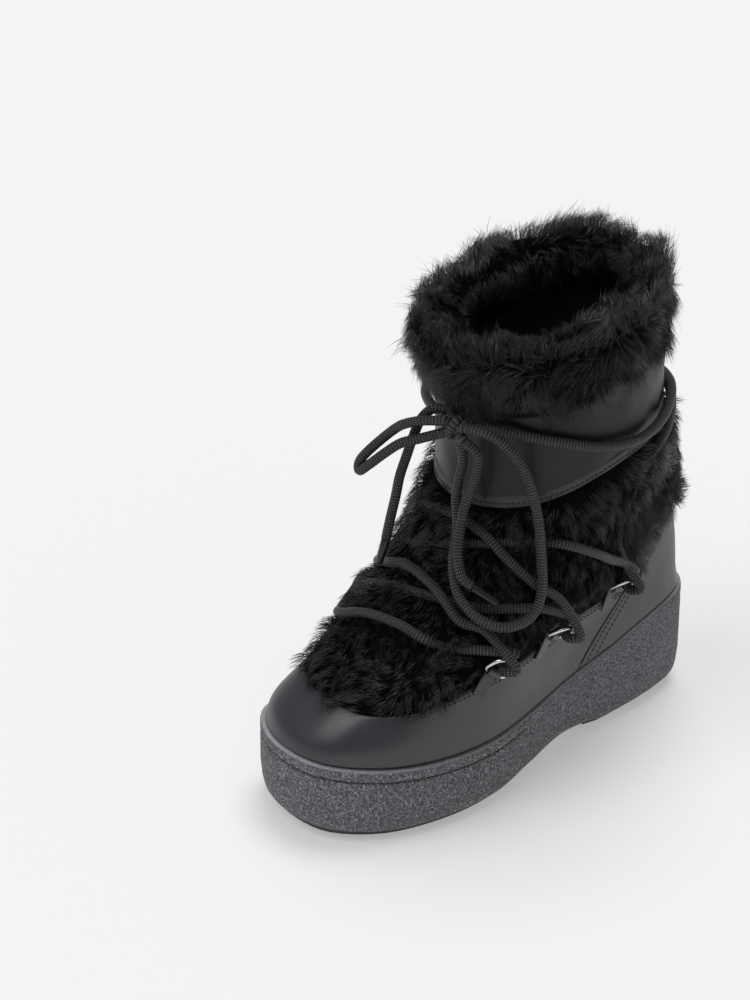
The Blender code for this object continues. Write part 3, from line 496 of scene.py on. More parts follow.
def mesh_piece(name, points, faces, material, smooth):
    """One object from points in millimetres."""
    mesh = bpy.data.meshes.new(name)
    mesh.from_pydata((np.asarray(points, float) * MM).tolist(), [], faces)
    return finished(name, mesh, material, smooth)


def place_piece(piece, slot, *nodes):
    """The piece rides on the boot and stands for solids, which it hides; its slot is not used."""
    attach(piece, "root")
    if nodes:
        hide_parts(*nodes)
    return piece


def net(rows, closed_across, closed_along=False):
    """Faces over rows of points, each row as long as the others."""
    count, total = rows.shape[1], rows.shape[0]
    across = np.arange(count if closed_across else count - 1)
    beside = (across + 1) % count
    faces = []
    for j in range(total if closed_along else total - 1):
        low, high = j * count, ((j + 1) % total) * count
        faces += np.stack([low + across, low + beside, high + beside, high + across], 1).tolist()
    return faces


# How a laid piece's thickness rises from its edge: distance in mm, share of the full thickness.
EDGE = ((0.0, 0.35), (0.25, 0.7), (0.7, 0.93), (1.4, 1.0))
EDGE_SHARE = 0.45
LEAST_TALL = 0.1
WAVE_SIZE = 24.0


def laid(name, columns, low, high, inner, depth, rows, material, closed=False, wave=0.0):
    """A piece laid on the upper between two edges given in rings, with rounded edges.

    depth is the outer face's distance from the upper, as a number or a function of column and share.
    """
    bottom, top = low(columns), high(columns)
    tall = np.linalg.norm(on_upper(columns, top) - on_upper(columns, bottom), axis=1)
    tall = np.maximum(tall, LEAST_TALL)
    border = [(np.minimum(reach / tall, EDGE_SHARE), factor) for reach, factor in EDGE]
    first, last = border[-1][0], 1 - border[-1][0]
    levels = border + [(first + (last - first) * k / rows, 1.0) for k in range(1, rows)]
    levels += [(1 - share, factor) for share, factor in reversed(border)]
    shares = np.array([share for share, _ in levels])
    factors = np.array([np.full(len(columns), factor) for _, factor in levels])
    if not closed:
        run = run_along(on_upper(columns, bottom))
        factors = factors * np.interp(np.minimum(run, run[-1] - run), *zip(*EDGE))
    full = depth(columns, shares) if callable(depth) else depth
    rings = bottom + shares * (top - bottom)
    outer = on_upper(columns, rings, inner + (full - inner) * factors)
    if wave:
        out = on_upper(columns, rings, 1.0) - on_upper(columns, rings)
        outer = outer + (wave * noise(outer, WAVE_SIZE, 5) * factors)[..., None] * out
    under = on_upper(columns, rings, inner)
    loop = np.concatenate([outer, under[::-1]])
    faces = net(loop, closed, closed_along=True)
    total, count = shares.shape
    for column in () if closed else (0, count - 1):
        for k in range(total - 1):
            corners = (k, k + 1, 2 * total - 2 - k, 2 * total - 1 - k)
            faces.append([row * count + column for row in corners])
    return mesh_piece(name, loop.reshape(-1, 3), faces, material, 50.0)


def column_run(start, stop, step=0.25):
    """Columns at an even step."""
    return np.linspace(start, stop, int(round((stop - start) / step)) + 1)


def seam_column(levels, shift, side):
    """Columns of the leaning seam between rand and counter at ring numbers."""
    return side * (SEAM_FOOT + SEAM_LEAN * levels + shift)


FOAM_UNDER = 4.0
GROOVE_ENDS = (-26.0, -4.0)


def underside(y, lift):
    """The height of the foam's underside along the boot, or of a level over it."""
    return FOAM_UNDER + np.maximum(0.0, along(UNDERSIDE_RISE, y)) + lift


def groove(y):
    """The moulded line under the lip, which runs round the forefoot and fades out behind it."""
    return np.clip((GROOVE_ENDS[1] - y) / (GROOVE_ENDS[1] - GROOVE_ENDS[0]), 0, 1)


# The sole's section from its underside over the lip into the foot-bed recess.
SOLE_SECTION = (
    # inset, from the lip (True) or the underside, height, groove
    (9.0, False, 0.0, 0.0), (4.0, False, 0.6, 0.0), (2.2, False, 1.6, 0.0), (1.1, False, 3.6, 0.0),
    (0.3, False, 7.5, 0.0), (-0.4, False, 16.0, 0.0), (-0.3, True, 12.0, 0.0), (-0.1, True, 8.6, 0.0),
    (0.0, True, 7.9, 0.3), (0.0, True, 7.6, 1.5), (0.0, True, 7.2, 1.5), (0.0, True, 6.9, 0.3),
    (-0.2, True, 6.2, 0.0), (-0.2, True, 1.8, 0.0), (0.1, True, 0.7, 0.0), (1.0, True, 0.3, 0.0),
    (9.0, True, 0.3, 0.0), (9.6, True, 1.2, 0.0), (10.0, True, 12.0, 0.0),
)
SOLE_STEPS = 10
# How far the lip's top is smoother than the pitted side, and lighter, with little of the pits' painted
# shade.
SMOOTH_LIGHT_RIM = 0.8
FOOTBED_SECTION = (
    (10.6, True, 11.6, 0.0), (10.4, True, 9.4, 0.0), (10.9, True, 8.3, 0.0), (12.4, True, 7.8, 0.0),
)


def sole_ring(inset, from_lip, height, cut):
    """One ring of the sole, by a row of its section."""
    plain = outline(0.0, SOLE_STEPS)
    y = plain[:, 1]
    moved = plain + (inset + cut * groove(y))[:, None] * inward(plain)
    level = along(LIP_HEIGHT, y) - height if from_lip else underside(y, height)
    return np.column_stack([moved, level])


def across_fill(first, count):
    """Faces that close a boot-shaped ring from side to side."""
    half = count // 2
    faces = [[first, first + 1, first + count - 1]]
    for i in range(1, half - 1):
        faces.append([first + i, first + i + 1, first + count - i - 1, first + count - i])
    faces.append([first + half - 1, first + half, first + half + 1])
    return faces


def ringed_piece(name, section, material, smooth):
    """A closed piece from the sole's rings, filled across its first and last."""
    rings = np.array([sole_ring(*row) for row in section])
    count = rings.shape[1]
    faces = net(rings, True)
    faces += across_fill(0, count) + across_fill((len(rings) - 1) * count, count)
    return mesh_piece(name, rings.reshape(-1, 3), faces, material, smooth)


def make_sole():
    """The foam cup, its lip's top smoother and lighter than its pitted side."""
    piece = ringed_piece("sole_foam_cup", SOLE_SECTION, look("foam"), 60.0)
    rim = [SMOOTH_LIGHT_RIM if row[1] and row[2] < 1.0 else 0.0 for row in SOLE_SECTION]
    write_attribute(piece.data, "rim", np.repeat(rim, len(SOLE_OUTLINE) * SOLE_STEPS))
    place_piece(piece, "sole_foam", "cup_sole")


def make_footbed():
    """The loose felt foot bed in the cup's recess."""
    piece = ringed_piece("footbed", FOOTBED_SECTION, look("felt"), 50.0)
    place_piece(piece, "lining", "insole")


PAD_INSET = 6.0
PAD_TOP = FOAM_UNDER - 0.6
PAD_PLATE = 2.0
PAD_RIM = 1.0
PAD_RIM_WIDTH = 3.0
STUD_RADIUS = 4.0
ROW_MARGIN = 5.5
BAR_DEEP = 2.6
BAR_GAP = 3.0
RIB_DEEP = 2.0
FOREFOOT_ROWS = (
    # y, kind, count
    (-125.5, "rib", 1), (-121.5, "rib", 1), (-117.0, "rib", 1), (-112.5, "rib", 1), (-108.0, "rib", 1),
    (-99.0, "stud", 5), (-88.0, "stud", 6), (-78.5, "bar", 4), (-69.0, "stud", 6), (-59.5, "bar", 4),
    (-50.0, "stud", 6), (-40.5, "bar", 4), (-31.0, "stud", 5), (-20.0, "stud", 5),
)
HEEL_ROWS = (
    # y, kind, count
    (62.0, "stud", 4), (71.5, "bar", 3), (81.0, "stud", 4), (90.5, "bar", 3), (100.0, "stud", 4),
    (110.0, "stud", 4), (119.5, "rib", 1), (124.0, "rib", 1),
)
# How a stud's radius and a bar's sides change with height, from the root to the worn edge.
STUD_PROFILE = ((4.0, 2.6), (3.9, 1.2), (3.55, 0.45), (2.9, 0.08), (2.0, 0.0))
BAR_PROFILE = ((0.0, 2.6), (0.0, 0.4), (-0.4, 0.0))
STUD_SIDES = 20
STUD_SHAPE = [(math.cos(a), math.sin(a)) for a in 2 * math.pi * np.arange(STUD_SIDES) / STUD_SIDES]
BAR_SHAPE = ((-1, -1), (1, -1), (1, 1), (-1, 1))
# The pad's own section, from its hidden top round its rim to the plate between the studs.
PAD_SECTION = (
    (0.0, PAD_TOP), (0.0, PAD_RIM + 0.5), (0.5, PAD_RIM), (PAD_RIM_WIDTH, PAD_RIM),
    (PAD_RIM_WIDTH + 0.5, PAD_PLATE),
)


def pad_outline(columns, inset, lift):
    """Points of a pad's outline at an inset from the sole's, and at a height over the ground."""
    edge = outline(inset, 8)
    found = np.array([edge[int(round(4 * c)) % len(edge)] for c in columns])
    return np.column_stack([found, np.maximum(0.0, along(UNDERSIDE_RISE, found[:, 1])) + lift])


def pad_span(columns, y):
    """The pad's extent across the boot at a place along it."""
    ring = pad_outline(columns, PAD_INSET + ROW_MARGIN, 0.0)
    found = []
    for a, b in zip(ring, ring[1:]):
        if (a[1] - y) * (b[1] - y) <= 0 and a[1] != b[1]:
            found.append(a[0] + (y - a[1]) / (b[1] - a[1]) * (b[0] - a[0]))
    return min(found), max(found)


def stamp(points, faces, shape, x, y, sizes):
    """Adds a closed shape to a growing mesh, by its half width, half depth and height at each ring."""
    made = np.array([[(x + a * u, y + b * v, z) for u, v in shape] for a, b, z in sizes])
    total, sides = made.shape[:2]
    first = sum(len(p) for p in points)
    points.append(made.reshape(-1, 3))
    closed = net(made, True) + [list(range(sides)), list(range((total - 1) * sides, total * sides))]
    faces += [[first + n for n in face] for face in closed]


def make_tread(name, columns, rows, node):
    """A tread pad with its rim, flat-topped studs, bars and ribs as closed shapes sunk in it."""
    sections = np.array([pad_outline(columns, PAD_INSET + inset, lift) for inset, lift in PAD_SECTION])
    count = len(columns)
    faces = net(sections, True)
    for first in (0, (len(sections) - 1) * count):
        for i in range(count // 2):
            a, b = first + i, first + count - 1 - i
            if b - a > 1:
                faces.append([a, a + 1, b] if b - a == 2 else [a, a + 1, b - 1, b])
    points = [sections.reshape(-1, 3)]
    for y, kind, number in rows:
        left, right = pad_span(columns, y)
        lift = max(0.0, float(along(UNDERSIDE_RISE, y)))
        if kind == "stud":
            for x in np.linspace(left + STUD_RADIUS, right - STUD_RADIUS, number):
                stamp(points, faces, STUD_SHAPE, x, y, [(r, r, lift + z) for r, z in STUD_PROFILE])
            continue
        deep = BAR_DEEP if kind == "bar" else RIB_DEEP
        wide = (right - left - (number - 1) * BAR_GAP) / number
        sizes = [(wide / 2 + grow, deep / 2 + grow, lift + z) for grow, z in BAR_PROFILE]
        for n in range(number):
            stamp(points, faces, BAR_SHAPE, left + wide / 2 + n * (wide + BAR_GAP), y, sizes)
    piece = mesh_piece(name, np.vstack(points), faces, look("tread"), 40.0)
    place_piece(piece, "tread_rubber", node)


def make_shell():
    """The fabric shell under all: its outer face is hidden, its inner face is the pile lining."""
    columns = column_run(0, COLUMNS - 0.5, 0.5)
    rings = np.linspace(0, TOP_RING, 4 * TOP_RING + 1)[:, None]
    outer, inner = on_upper(columns, rings), on_upper(columns, rings, -WALL)
    inner[1:-1] += 0.5 * noise(inner[1:-1], 12.0, 9)[..., None] * (inner[1:-1] - outer[1:-1]) / WALL
    loop = np.concatenate([outer, inner[::-1]])
    faces = net(loop, True, closed_along=True)
    piece = mesh_piece("upper_shell", loop.reshape(-1, 3), faces, look("shell"), 50.0)
    place_piece(piece, "upper_shell", "upper")


GAP = 0.35
RAND_DEPTH = GAP + 2.0
# The ring number where the leather's foot starts, just over the sole.
FOOT_RING = 0.06


def leather_foot(columns):
    """The leather's lower edge."""
    return np.full(len(columns), FOOT_RING)


def rand_depth(column, share):
    """The rand's thickness, with a soft roll where its upper edge is turned over at the sides."""
    turn = np.mod(column, COLUMNS) / COLUMNS
    side = np.clip((np.minimum(turn, 1 - turn) - 0.10) / 0.05, 0, 1)
    return RAND_DEPTH + 0.7 * side * np.clip((share - 0.86) / 0.04, 0, 1)


def make_leather():
    """The toe and side rand, and the heel counter that meets it at a leaning seam."""
    last = SEAM_FOOT + SEAM_LEAN * 3.0

    def rand_low(columns):
        reach = np.clip((np.abs(columns) - SEAM_FOOT) / SEAM_LEAN, FOOT_RING, 2.9)
        return np.where(np.abs(columns) > SEAM_FOOT, reach, FOOT_RING)

    rand = laid(
        "toe_and_side_rand", column_run(-last, last, 0.2), rand_low,
        lambda c: np.maximum(round_boot(RAND_TOP, c), rand_low(c) + 0.02), GAP, rand_depth, 16,
        look("leather"),
    )
    place_piece(rand, "rand_leather", "rand")

    def counter_top(columns):
        top = round_boot(COUNTER_TOP, columns)
        edge = (np.minimum(columns, COLUMNS - columns) - SEAM_FOOT - 0.05) / SEAM_LEAN
        return np.minimum(top, np.maximum(edge, 0.1))

    counter = laid(
        "heel_counter_leather", column_run(SEAM_FOOT + 0.1, COLUMNS - SEAM_FOOT - 0.1, 0.2), leather_foot,
        counter_top, GAP, RAND_DEPTH, 16, look("leather"),
    )
    place_piece(counter, "rand_leather", "heel_counter")


BAND_OUTER = GAP + 3.5


def band_depth(column, share):
    """The band's padding swells a little between its two borders."""
    swell = np.sin(np.clip((share - 0.18) / 0.75, 0, 1) * math.pi)
    return BAND_OUTER - 0.55 + 0.45 * np.clip((share - 0.15) / 0.04, 0, 1) + 0.5 * swell


def make_band():
    """The padded ankle band and the binding along its lower edge."""
    columns = column_run(0, COLUMNS - 0.2, 0.2)

    def low(c):
        return round_boot(BAND_LOW, c)

    def high(c):
        return round_boot(BAND_HIGH, c)

    band = laid("ankle_band_coated", columns, low, high, GAP, band_depth, 20, look("band"), True, wave=0.45)
    place_piece(band, "coated_band", "ankle_band")
    binding = laid(
        "band_lower_binding", columns, lambda c: low(c) - 0.02,
        lambda c: low(c) + 0.13 * (high(c) - low(c)), BAND_OUTER - 1.4, BAND_OUTER - 0.25, 4,
        look("binding"), True,
    )
    place_piece(binding, "coated_band")


def collar_depth(column):
    """The cuff's depth, fullest over the front of the lateral side."""
    return 9.5 + 3.0 * np.cos(2 * math.pi * (np.asarray(column) / COLUMNS - 0.88))


# The cuff's base under its hair: the share of the way from hem to rim, the share of its full depth,
# the rise over the rim, the lean of its hair and its length.
COLLAR_BASE = (
    # share, depth, rise, up, length
    (0.00, 0.10, 0.0, -0.90, 0.0), (0.02, 0.38, 0.0, -1.00, 12.0), (0.25, 0.58, 0.0, -0.85, 15.0),
    (0.60, 0.62, 0.0, -0.60, 16.0), (0.90, 0.60, 1.0, -0.25, 15.0), (1.00, 0.46, 4.4, 0.30, 14.0),
    (1.00, 0.05, 7.2, 0.60, 12.0), (1.00, -0.42, 6.4, 0.25, 13.0), (1.00, -0.80, 1.0, -0.40, 14.0),
    (0.72, -0.84, 0.0, -0.80, 14.0), (0.45, -0.66, 0.0, -0.90, 12.0), (0.10, -0.40, 0.0, -1.00, 9.0),
    (0.08, -0.18, 0.0, -1.00, 0.0),
)
COLLAR_STEPS = 3
# Where the cuff folds further in over the opening: column, spread, share more.
CUFF_FOLDS = ((10.0, 5.0, 0.35), (17.5, 4.0, 0.6), (37.0, 2.5, 0.3))


def collar_rows():
    """Points of the cuff's base, one row for each step round it, and the table's rows for them."""
    columns = column_run(0, COLUMNS - 0.5, 0.5)
    table = spline(COLLAR_BASE, COLLAR_STEPS)
    table[:, 0] = np.clip(table[:, 0], 0, 1)
    hem = round_boot(COLLAR_HEM, columns)
    fill = 1.0
    for centre, spread, more in CUFF_FOLDS:
        fill = fill + more * hump(columns, centre, spread)
    rows = []
    for share, depth, rise, _, _ in table:
        reach = depth * collar_depth(columns)
        if depth < 0:
            reach = reach * fill - WALL
        point = on_upper(columns, hem + share * (TOP_RING - hem), reach)
        point[:, 2] += rise
        rows.append(point)
    return np.array(rows), table


def write_attribute(mesh, name, values):
    """Writes one number or one direction for each point of a mesh."""
    values = np.ascontiguousarray(values, np.float32)
    kind, field = ("FLOAT_VECTOR", "vector") if values.ndim > 1 else ("FLOAT", "value")
    mesh.attributes.new(name, kind, "POINT").data.foreach_set(field, values.ravel())


# A bunch of hair: its hairs, the lengths that each is bent in, its kinds and its triangles.
BUNCH_HAIRS = 9
HAIR_PARTS = 2
BUNCH_KINDS = 5
BUNCH_TRIANGLES = BUNCH_HAIRS * (4 + 3 * HAIR_PARTS)


def make_tufts(prefix, clump, width, seed):
    """Small bunches of tapering hairs, a unit long, that bend forward along X."""
    draw = np.random.default_rng(seed)
    holder = bpy.data.collections.new(prefix)
    turn = 2 * math.pi * np.arange(3) / 3
    for kind in range(BUNCH_KINDS):
        points, faces, share_up = [], [], []
        lift = 0.44 + 0.1 * kind / BUNCH_KINDS
        for _ in range(BUNCH_HAIRS):
            root = draw.normal(scale=0.15, size=2)
            reach = draw.uniform(0.75, 1.1)
            side = draw.normal(scale=0.07)
            rise = lift * draw.uniform(0.8, 1.2)
            thick = draw.uniform(0.8, 1.25) * width
            first = len(points)
            for k in range(HAIR_PARTS):
                t = k / HAIR_PARTS
                x = root[0] * (1 - clump * t) + 0.85 * reach * t**1.25
                y = root[1] * (1 - clump * t) + side * t**1.5
                z = rise * (1.75 * t - 0.75 * t * t) - 0.05
                wide = thick * (1 - 0.45 * t)
                points += [(x, y + wide * math.cos(a), z + wide * math.sin(a)) for a in turn]
                share_up += [t] * 3
            points.append((root[0] * (1 - clump) + 0.85 * reach, root[1] * (1 - clump) + side, rise - 0.05))
            share_up.append(1.0)
            faces.append([first, first + 2, first + 1])
            for k in range(HAIR_PARTS - 1):
                for n in range(3):
                    a, b = first + 3 * k + n, first + 3 * k + (n + 1) % 3
                    faces.append([a, b, b + 3, a + 3])
            top = first + 3 * (HAIR_PARTS - 1)
            faces += [[top + n, top + (n + 1) % 3, top + 3] for n in range(3)]
        mesh = bpy.data.meshes.new(f"{prefix}_{kind}")
        mesh.from_pydata(points, [], faces)
        mesh.shade_smooth()
        write_attribute(mesh, "along", share_up)
        holder.objects.link(bpy.data.objects.new(f"{prefix}_{kind}", mesh))
    return holder


def new_tree(name, inputs, attributes):
    """A geometry tree, with the sockets of its named inputs and of the attributes that it reads."""
    tree = bpy.data.node_groups.new(name, "GeometryNodeTree")
    for label, kind in inputs:
        tree.interface.new_socket(label, in_out="INPUT", socket_type="NodeSocket" + kind)
    tree.interface.new_socket("Geometry", in_out="OUTPUT", socket_type="NodeSocketGeometry")
    given = add_node(tree, "NodeGroupInput").outputs
    read = {}
    for label, kind in attributes:
        made = add_node(tree, "GeometryNodeInputNamedAttribute", {"data_type": kind}, {"Name": label})
        read[label] = made.outputs["Attribute"]
    return tree, given, read


def turned(tree, up, way):
    """The rotation of a piece that stands up in one direction and lies along another."""
    align = "FunctionNodeAlignRotationToVector"
    upright = add_node(tree, align, {"axis": "Z"}, {"Vector": up}).outputs[0]
    lying = add_node(tree, align, {"axis": "X", "pivot_axis": "Z"}, {"Rotation": upright, "Vector": way})
    return lying.outputs[0]


def end_tree(tree, made, material):
    """Makes the instances real, gives them their material and puts them out."""
    real = add_node(tree, "GeometryNodeRealizeInstances", None, {0: made.outputs[0]})
    sockets = {"Geometry": real.outputs[0], "Material": material}
    dyed = add_node(tree, "GeometryNodeSetMaterial", None, sockets)
    add_node(tree, "NodeGroupOutput", None, {0: dyed.outputs[0]})
    return tree


def run_tree(piece, tree, values):
    """Adds a tree to a piece and sets its inputs by their sockets."""
    runner = piece.modifiers.new(tree.name, "NODES")
    runner.node_group = tree
    for item in tree.interface.items_tree:
        if item.in_out == "INPUT" and item.name in values:
            runner[item.identifier] = values[item.name]


def fur_tree(name):
    """Scatters bunches of hair over a base, each lying along the base's own comb direction."""
    inputs = (
        ("Geometry", "Geometry"), ("Tufts", "Collection"), ("Density", "Float"), ("Disorder", "Float"),
        ("Seed", "Int"), ("Material", "Material"),
    )
    attributes = (("grows", "FLOAT"), ("comb", "FLOAT_VECTOR"), ("long", "FLOAT"), ("stand", "FLOAT"))
    tree, given, read = new_tree(name, inputs, attributes)
    seed = given["Seed"]
    times, draw = {"operation": "MULTIPLY"}, "FunctionNodeRandomValue"
    density = add_node(tree, "ShaderNodeMath", times, {0: given["Density"], 1: read["grows"]})
    spread = add_node(
        tree, "GeometryNodeDistributePointsOnFaces", {"distribute_method": "RANDOM"},
        {"Mesh": given["Geometry"], "Density": density.outputs[0], "Seed": seed},
    )
    combed = turned(tree, spread.outputs["Normal"], read["comb"])
    most = {0: (-0.3, -0.35, -1.0), 1: (0.3, 0.3, 1.0), "Seed": seed}
    stray = add_node(tree, draw, {"data_type": "FLOAT_VECTOR"}, most)
    amount = add_node(
        tree, "ShaderNodeVectorMath", {"operation": "SCALE"},
        {0: stray.outputs[0], "Scale": given["Disorder"]},
    )
    turn = add_node(tree, "FunctionNodeEulerToRotation", None, {0: amount.outputs[0]})
    rotation = add_node(
        tree, "FunctionNodeRotateRotation", {"rotation_space": "LOCAL"}, {0: combed, 1: turn.outputs[0]}
    )
    size = add_node(tree, draw, {"data_type": "FLOAT"}, {2: 0.75, 3: 1.2, "Seed": seed})
    long = add_node(tree, "ShaderNodeMath", times, {0: size.outputs[1], 1: read["long"]}).outputs[0]
    tall = add_node(tree, "ShaderNodeMath", times, {0: long, 1: read["stand"]}).outputs[0]
    scale = add_node(tree, "ShaderNodeCombineXYZ", None, {0: long, 1: long, 2: tall})
    bunches = add_node(
        tree, "GeometryNodeCollectionInfo", None,
        {"Collection": given["Tufts"], "Separate Children": True, "Reset Children": True},
    )
    pick = add_node(tree, draw, {"data_type": "INT"}, {4: 0, 5: BUNCH_KINDS - 1, "Seed": seed})
    grown = add_node(
        tree,
        "GeometryNodeInstanceOnPoints",
        None,
        {
            "Points": spread.outputs["Points"],
            "Instance": bunches.outputs[0],
            "Pick Instance": True,
            "Instance Index": pick.outputs[2],
            "Rotation": rotation.outputs[0],
            "Scale": scale.outputs[0],
        },
    )
    shade = add_node(tree, draw, {"data_type": "FLOAT"}, {2: 0.15, 3: 1.0, "Seed": seed})
    toned = add_node(
        tree, "GeometryNodeStoreNamedAttribute", {"data_type": "FLOAT", "domain": "INSTANCE"},
        {"Geometry": grown.outputs[0], "Name": "tone", "Value": shade.outputs[1]},
    )
    return end_tree(tree, toned, given["Material"])


def plain_mesh(source, name):
    """The evaluated object's mesh as a new plain object; the source is removed."""
    bpy.context.view_layer.update()
    graph = bpy.context.evaluated_depsgraph_get()
    mesh = bpy.data.meshes.new_from_object(source.evaluated_get(graph))
    mesh.name = name
    bpy.data.objects.remove(source, do_unlink=True)
    return new_object(name, mesh)


def grow_fur(name, base, tufts, triangles, disorder, seed):
    """Hair on a base mesh, about as many triangles as asked for."""
    area = 0.0
    grows = np.zeros(len(base.data.vertices), np.float32)
    base.data.attributes["grows"].data.foreach_get("value", grows)
    for polygon in base.data.polygons:
        area += polygon.area * float(np.mean([grows[v] for v in polygon.vertices]))
    seeded = new_object(name + "_field", base.data.copy())
    tree = bpy.data.node_groups.get("fur_field") or fur_tree("fur_field")
    values = {
        "Tufts": tufts,
        "Density": triangles / BUNCH_TRIANGLES / area,
        "Disorder": disorder,
        "Seed": seed,
        "Material": look("hair"),
    }
    run_tree(seeded, tree, values)
    return plain_mesh(seeded, name)


BACKING_THICK = 1.6


def fur_base(name, rows, normals_out, comb, stand, long, grows, closed):
    """A thin closed backing whose outer side carries the attributes that the fur tree reads."""
    inner = rows - BACKING_THICK * normals_out
    points = np.concatenate([rows.reshape(-1, 3), inner.reshape(-1, 3)])
    total, count = rows.shape[:2]
    faces = net(rows, closed)
    layer = total * count
    faces += [[n + layer for n in reversed(f)] for f in faces]
    top = layer - count
    for i in range(count if closed else count - 1):
        k = (i + 1) % count
        faces += [[i, layer + i, layer + k, k], [top + k, layer + top + k, layer + top + i, top + i]]
    if not closed:
        for j in range(total - 1):
            for a, b in ((j * count, (j + 1) * count), ((j + 2) * count - 1, (j + 1) * count - 1)):
                faces.append([a, b, layer + b, layer + a])
    piece = mesh_piece(name, points, faces, look("backing"), 60.0)
    write_attribute(piece.data, "comb", np.concatenate([comb.reshape(-1, 3)] * 2))
    for label, values in (("stand", stand), ("long", long * MM), ("grows", grows)):
        write_attribute(piece.data, label, np.concatenate([values.ravel(), np.zeros(layer)]))
    return piece


def unit(vectors):
    """Vectors made one long."""
    return vectors / np.maximum(np.linalg.norm(vectors, axis=-1, keepdims=True), 1e-9)


def surface_line(columns, rings, offset):
    """Points at a distance outside the upper, and the outward directions there."""
    points = on_upper(columns, rings, offset)
    return points, unit(on_upper(columns, rings, offset + 1.0) - points)


def hump(values, centre, spread):
    """A smooth rise to 1 round a centre."""
    return np.exp(-(((values - centre) / spread) ** 2))


def swirled(way, normal, points, swirls, seed):
    """Directions turned about the surface's normal by smooth random angles, each with its size."""
    for n, (size, amount) in enumerate(swirls):
        angle = amount * noise(points, size, seed + n)[..., None]
        way = way * np.cos(angle) + np.cross(normal, way) * np.sin(angle)
    return way


SHORT_FUR = 11.0
FUR_BASE_OFF = 2.9
SHORT_ROWS = 26
# How the combed hair swirls: the size of each swirl in mm and its turn in radians.
SHORT_SWIRLS = ((34.0, 1.0), (11.0, 0.45))
COLLAR_SWIRLS = ((38.0, 1.1), (14.0, 0.4))
# Where the cuff's table gives less length than this, no hair grows.
BARE_LENGTH = 6.0
COLLAR_LAYERS = 3
# Where the short fur's lower edge rises, and where it stands fullest: column or ring, and spread.
MEDIAL_EDGE = (9.5, 4.0)
PLUMP_SIDE = (33.0, 4.5)
PLUMP_LEVEL = (6.0, 2.0)
# The triangles of each short fur piece and of each of the cuff's three layers of hair.
SHORT_TRIANGLES = 150000
COLLAR_TRIANGLES = 138000


def leather_edge(columns):
    """The upper edge of whichever leather piece lies at a column."""
    turn = np.mod(columns, COLUMNS)
    behind = np.minimum(turn, COLUMNS - turn) > SEAM_STEP - 0.5
    return np.where(behind, round_boot(COUNTER_TOP, columns), round_boot(RAND_TOP, columns))


def near_lace(points):
    """The distance of points to the lace's crossings, in mm."""
    line = np.vstack([spline(route_points(route), 4) for route in (LACE_FIRST, LACE_SECOND)])
    flat = points.reshape(-1, 3)
    found = np.full(len(flat), np.inf)
    for spots in np.array_split(line, 10):
        gaps = np.linalg.norm(flat[:, None, :] - spots, axis=2)
        found = np.minimum(found, gaps.min(axis=1))
    return found.reshape(points.shape[:-1])


def short_fur(name, columns, node, seed):
    """Short fur between the leather and the band, pressed down under the lace."""
    medial_edge = hump(columns, *MEDIAL_EDGE)
    low = leather_edge(columns) + 0.02 + 0.42 * medial_edge
    high = round_boot(BAND_LOW, columns) - 0.04
    shares = np.linspace(0, 1, SHORT_ROWS)[:, None]
    rings = low + shares * (high - low)
    surface, normal = surface_line(columns, rings, 0.0)
    edge = np.minimum(shares / (0.08 + 0.14 * medial_edge), (1 - shares) / 0.05)
    edge = np.clip(edge, 0.45, 1.0)
    # The lace presses the fur down: 0 under it, 1 clear of it.
    pressed = np.clip((near_lace(surface + 14.0 * normal) - 3.0) / 6.0, 0, 1)
    plump = hump(np.mod(columns, COLUMNS), *PLUMP_SIDE) * hump(rings, *PLUMP_LEVEL)
    thick = (FUR_BASE_OFF + 3.2 * pressed + 4.2 * plump) * edge + 1.0 * noise(surface, 24.0, seed + 4)
    points = surface + np.maximum(thick, 1.9)[..., None] * normal
    down = unit(-np.gradient(points, axis=0))
    forward = np.zeros(points.shape)
    forward[..., 1] = -0.5 * np.clip((-40 - points[..., 1]) / 60, 0, 1)
    away = np.zeros(points.shape)
    away[..., 1] = 0.55 * np.clip(points[..., 1] / 80, 0, 1)
    comb = unit(down + forward + away)
    comb = swirled(comb, normal, points, SHORT_SWIRLS, seed)
    stand = 0.35 + 0.6 * pressed + 0.2 * noise(points, 18.0, seed + 2)
    long = SHORT_FUR * (0.72 + 0.38 * pressed + 0.12 * noise(points, 15.0, seed + 3))
    long = long * np.clip(0.95 - 0.65 * medial_edge + 2.4 * shares, 0.3, 1.0)
    grows = np.ones(points.shape[:2])
    base = fur_base(name + "_backing", points, normal, comb, stand, long, grows, False)
    tufts = make_tufts(name + "_tufts", 0.25, 0.0145, seed)
    fur = grow_fur(name, base, tufts, SHORT_TRIANGLES, 0.33, seed)
    place_piece(base, "black_fur", node)
    place_piece(fur, "black_fur", node)
    clear_tufts(tufts)


def clear_tufts(tufts):
    """Removes the bunches once their hair is grown."""
    for bunch in list(tufts.objects):
        mesh = bunch.data
        bpy.data.objects.remove(bunch, do_unlink=True)
        bpy.data.meshes.remove(mesh)
    bpy.data.collections.remove(tufts)


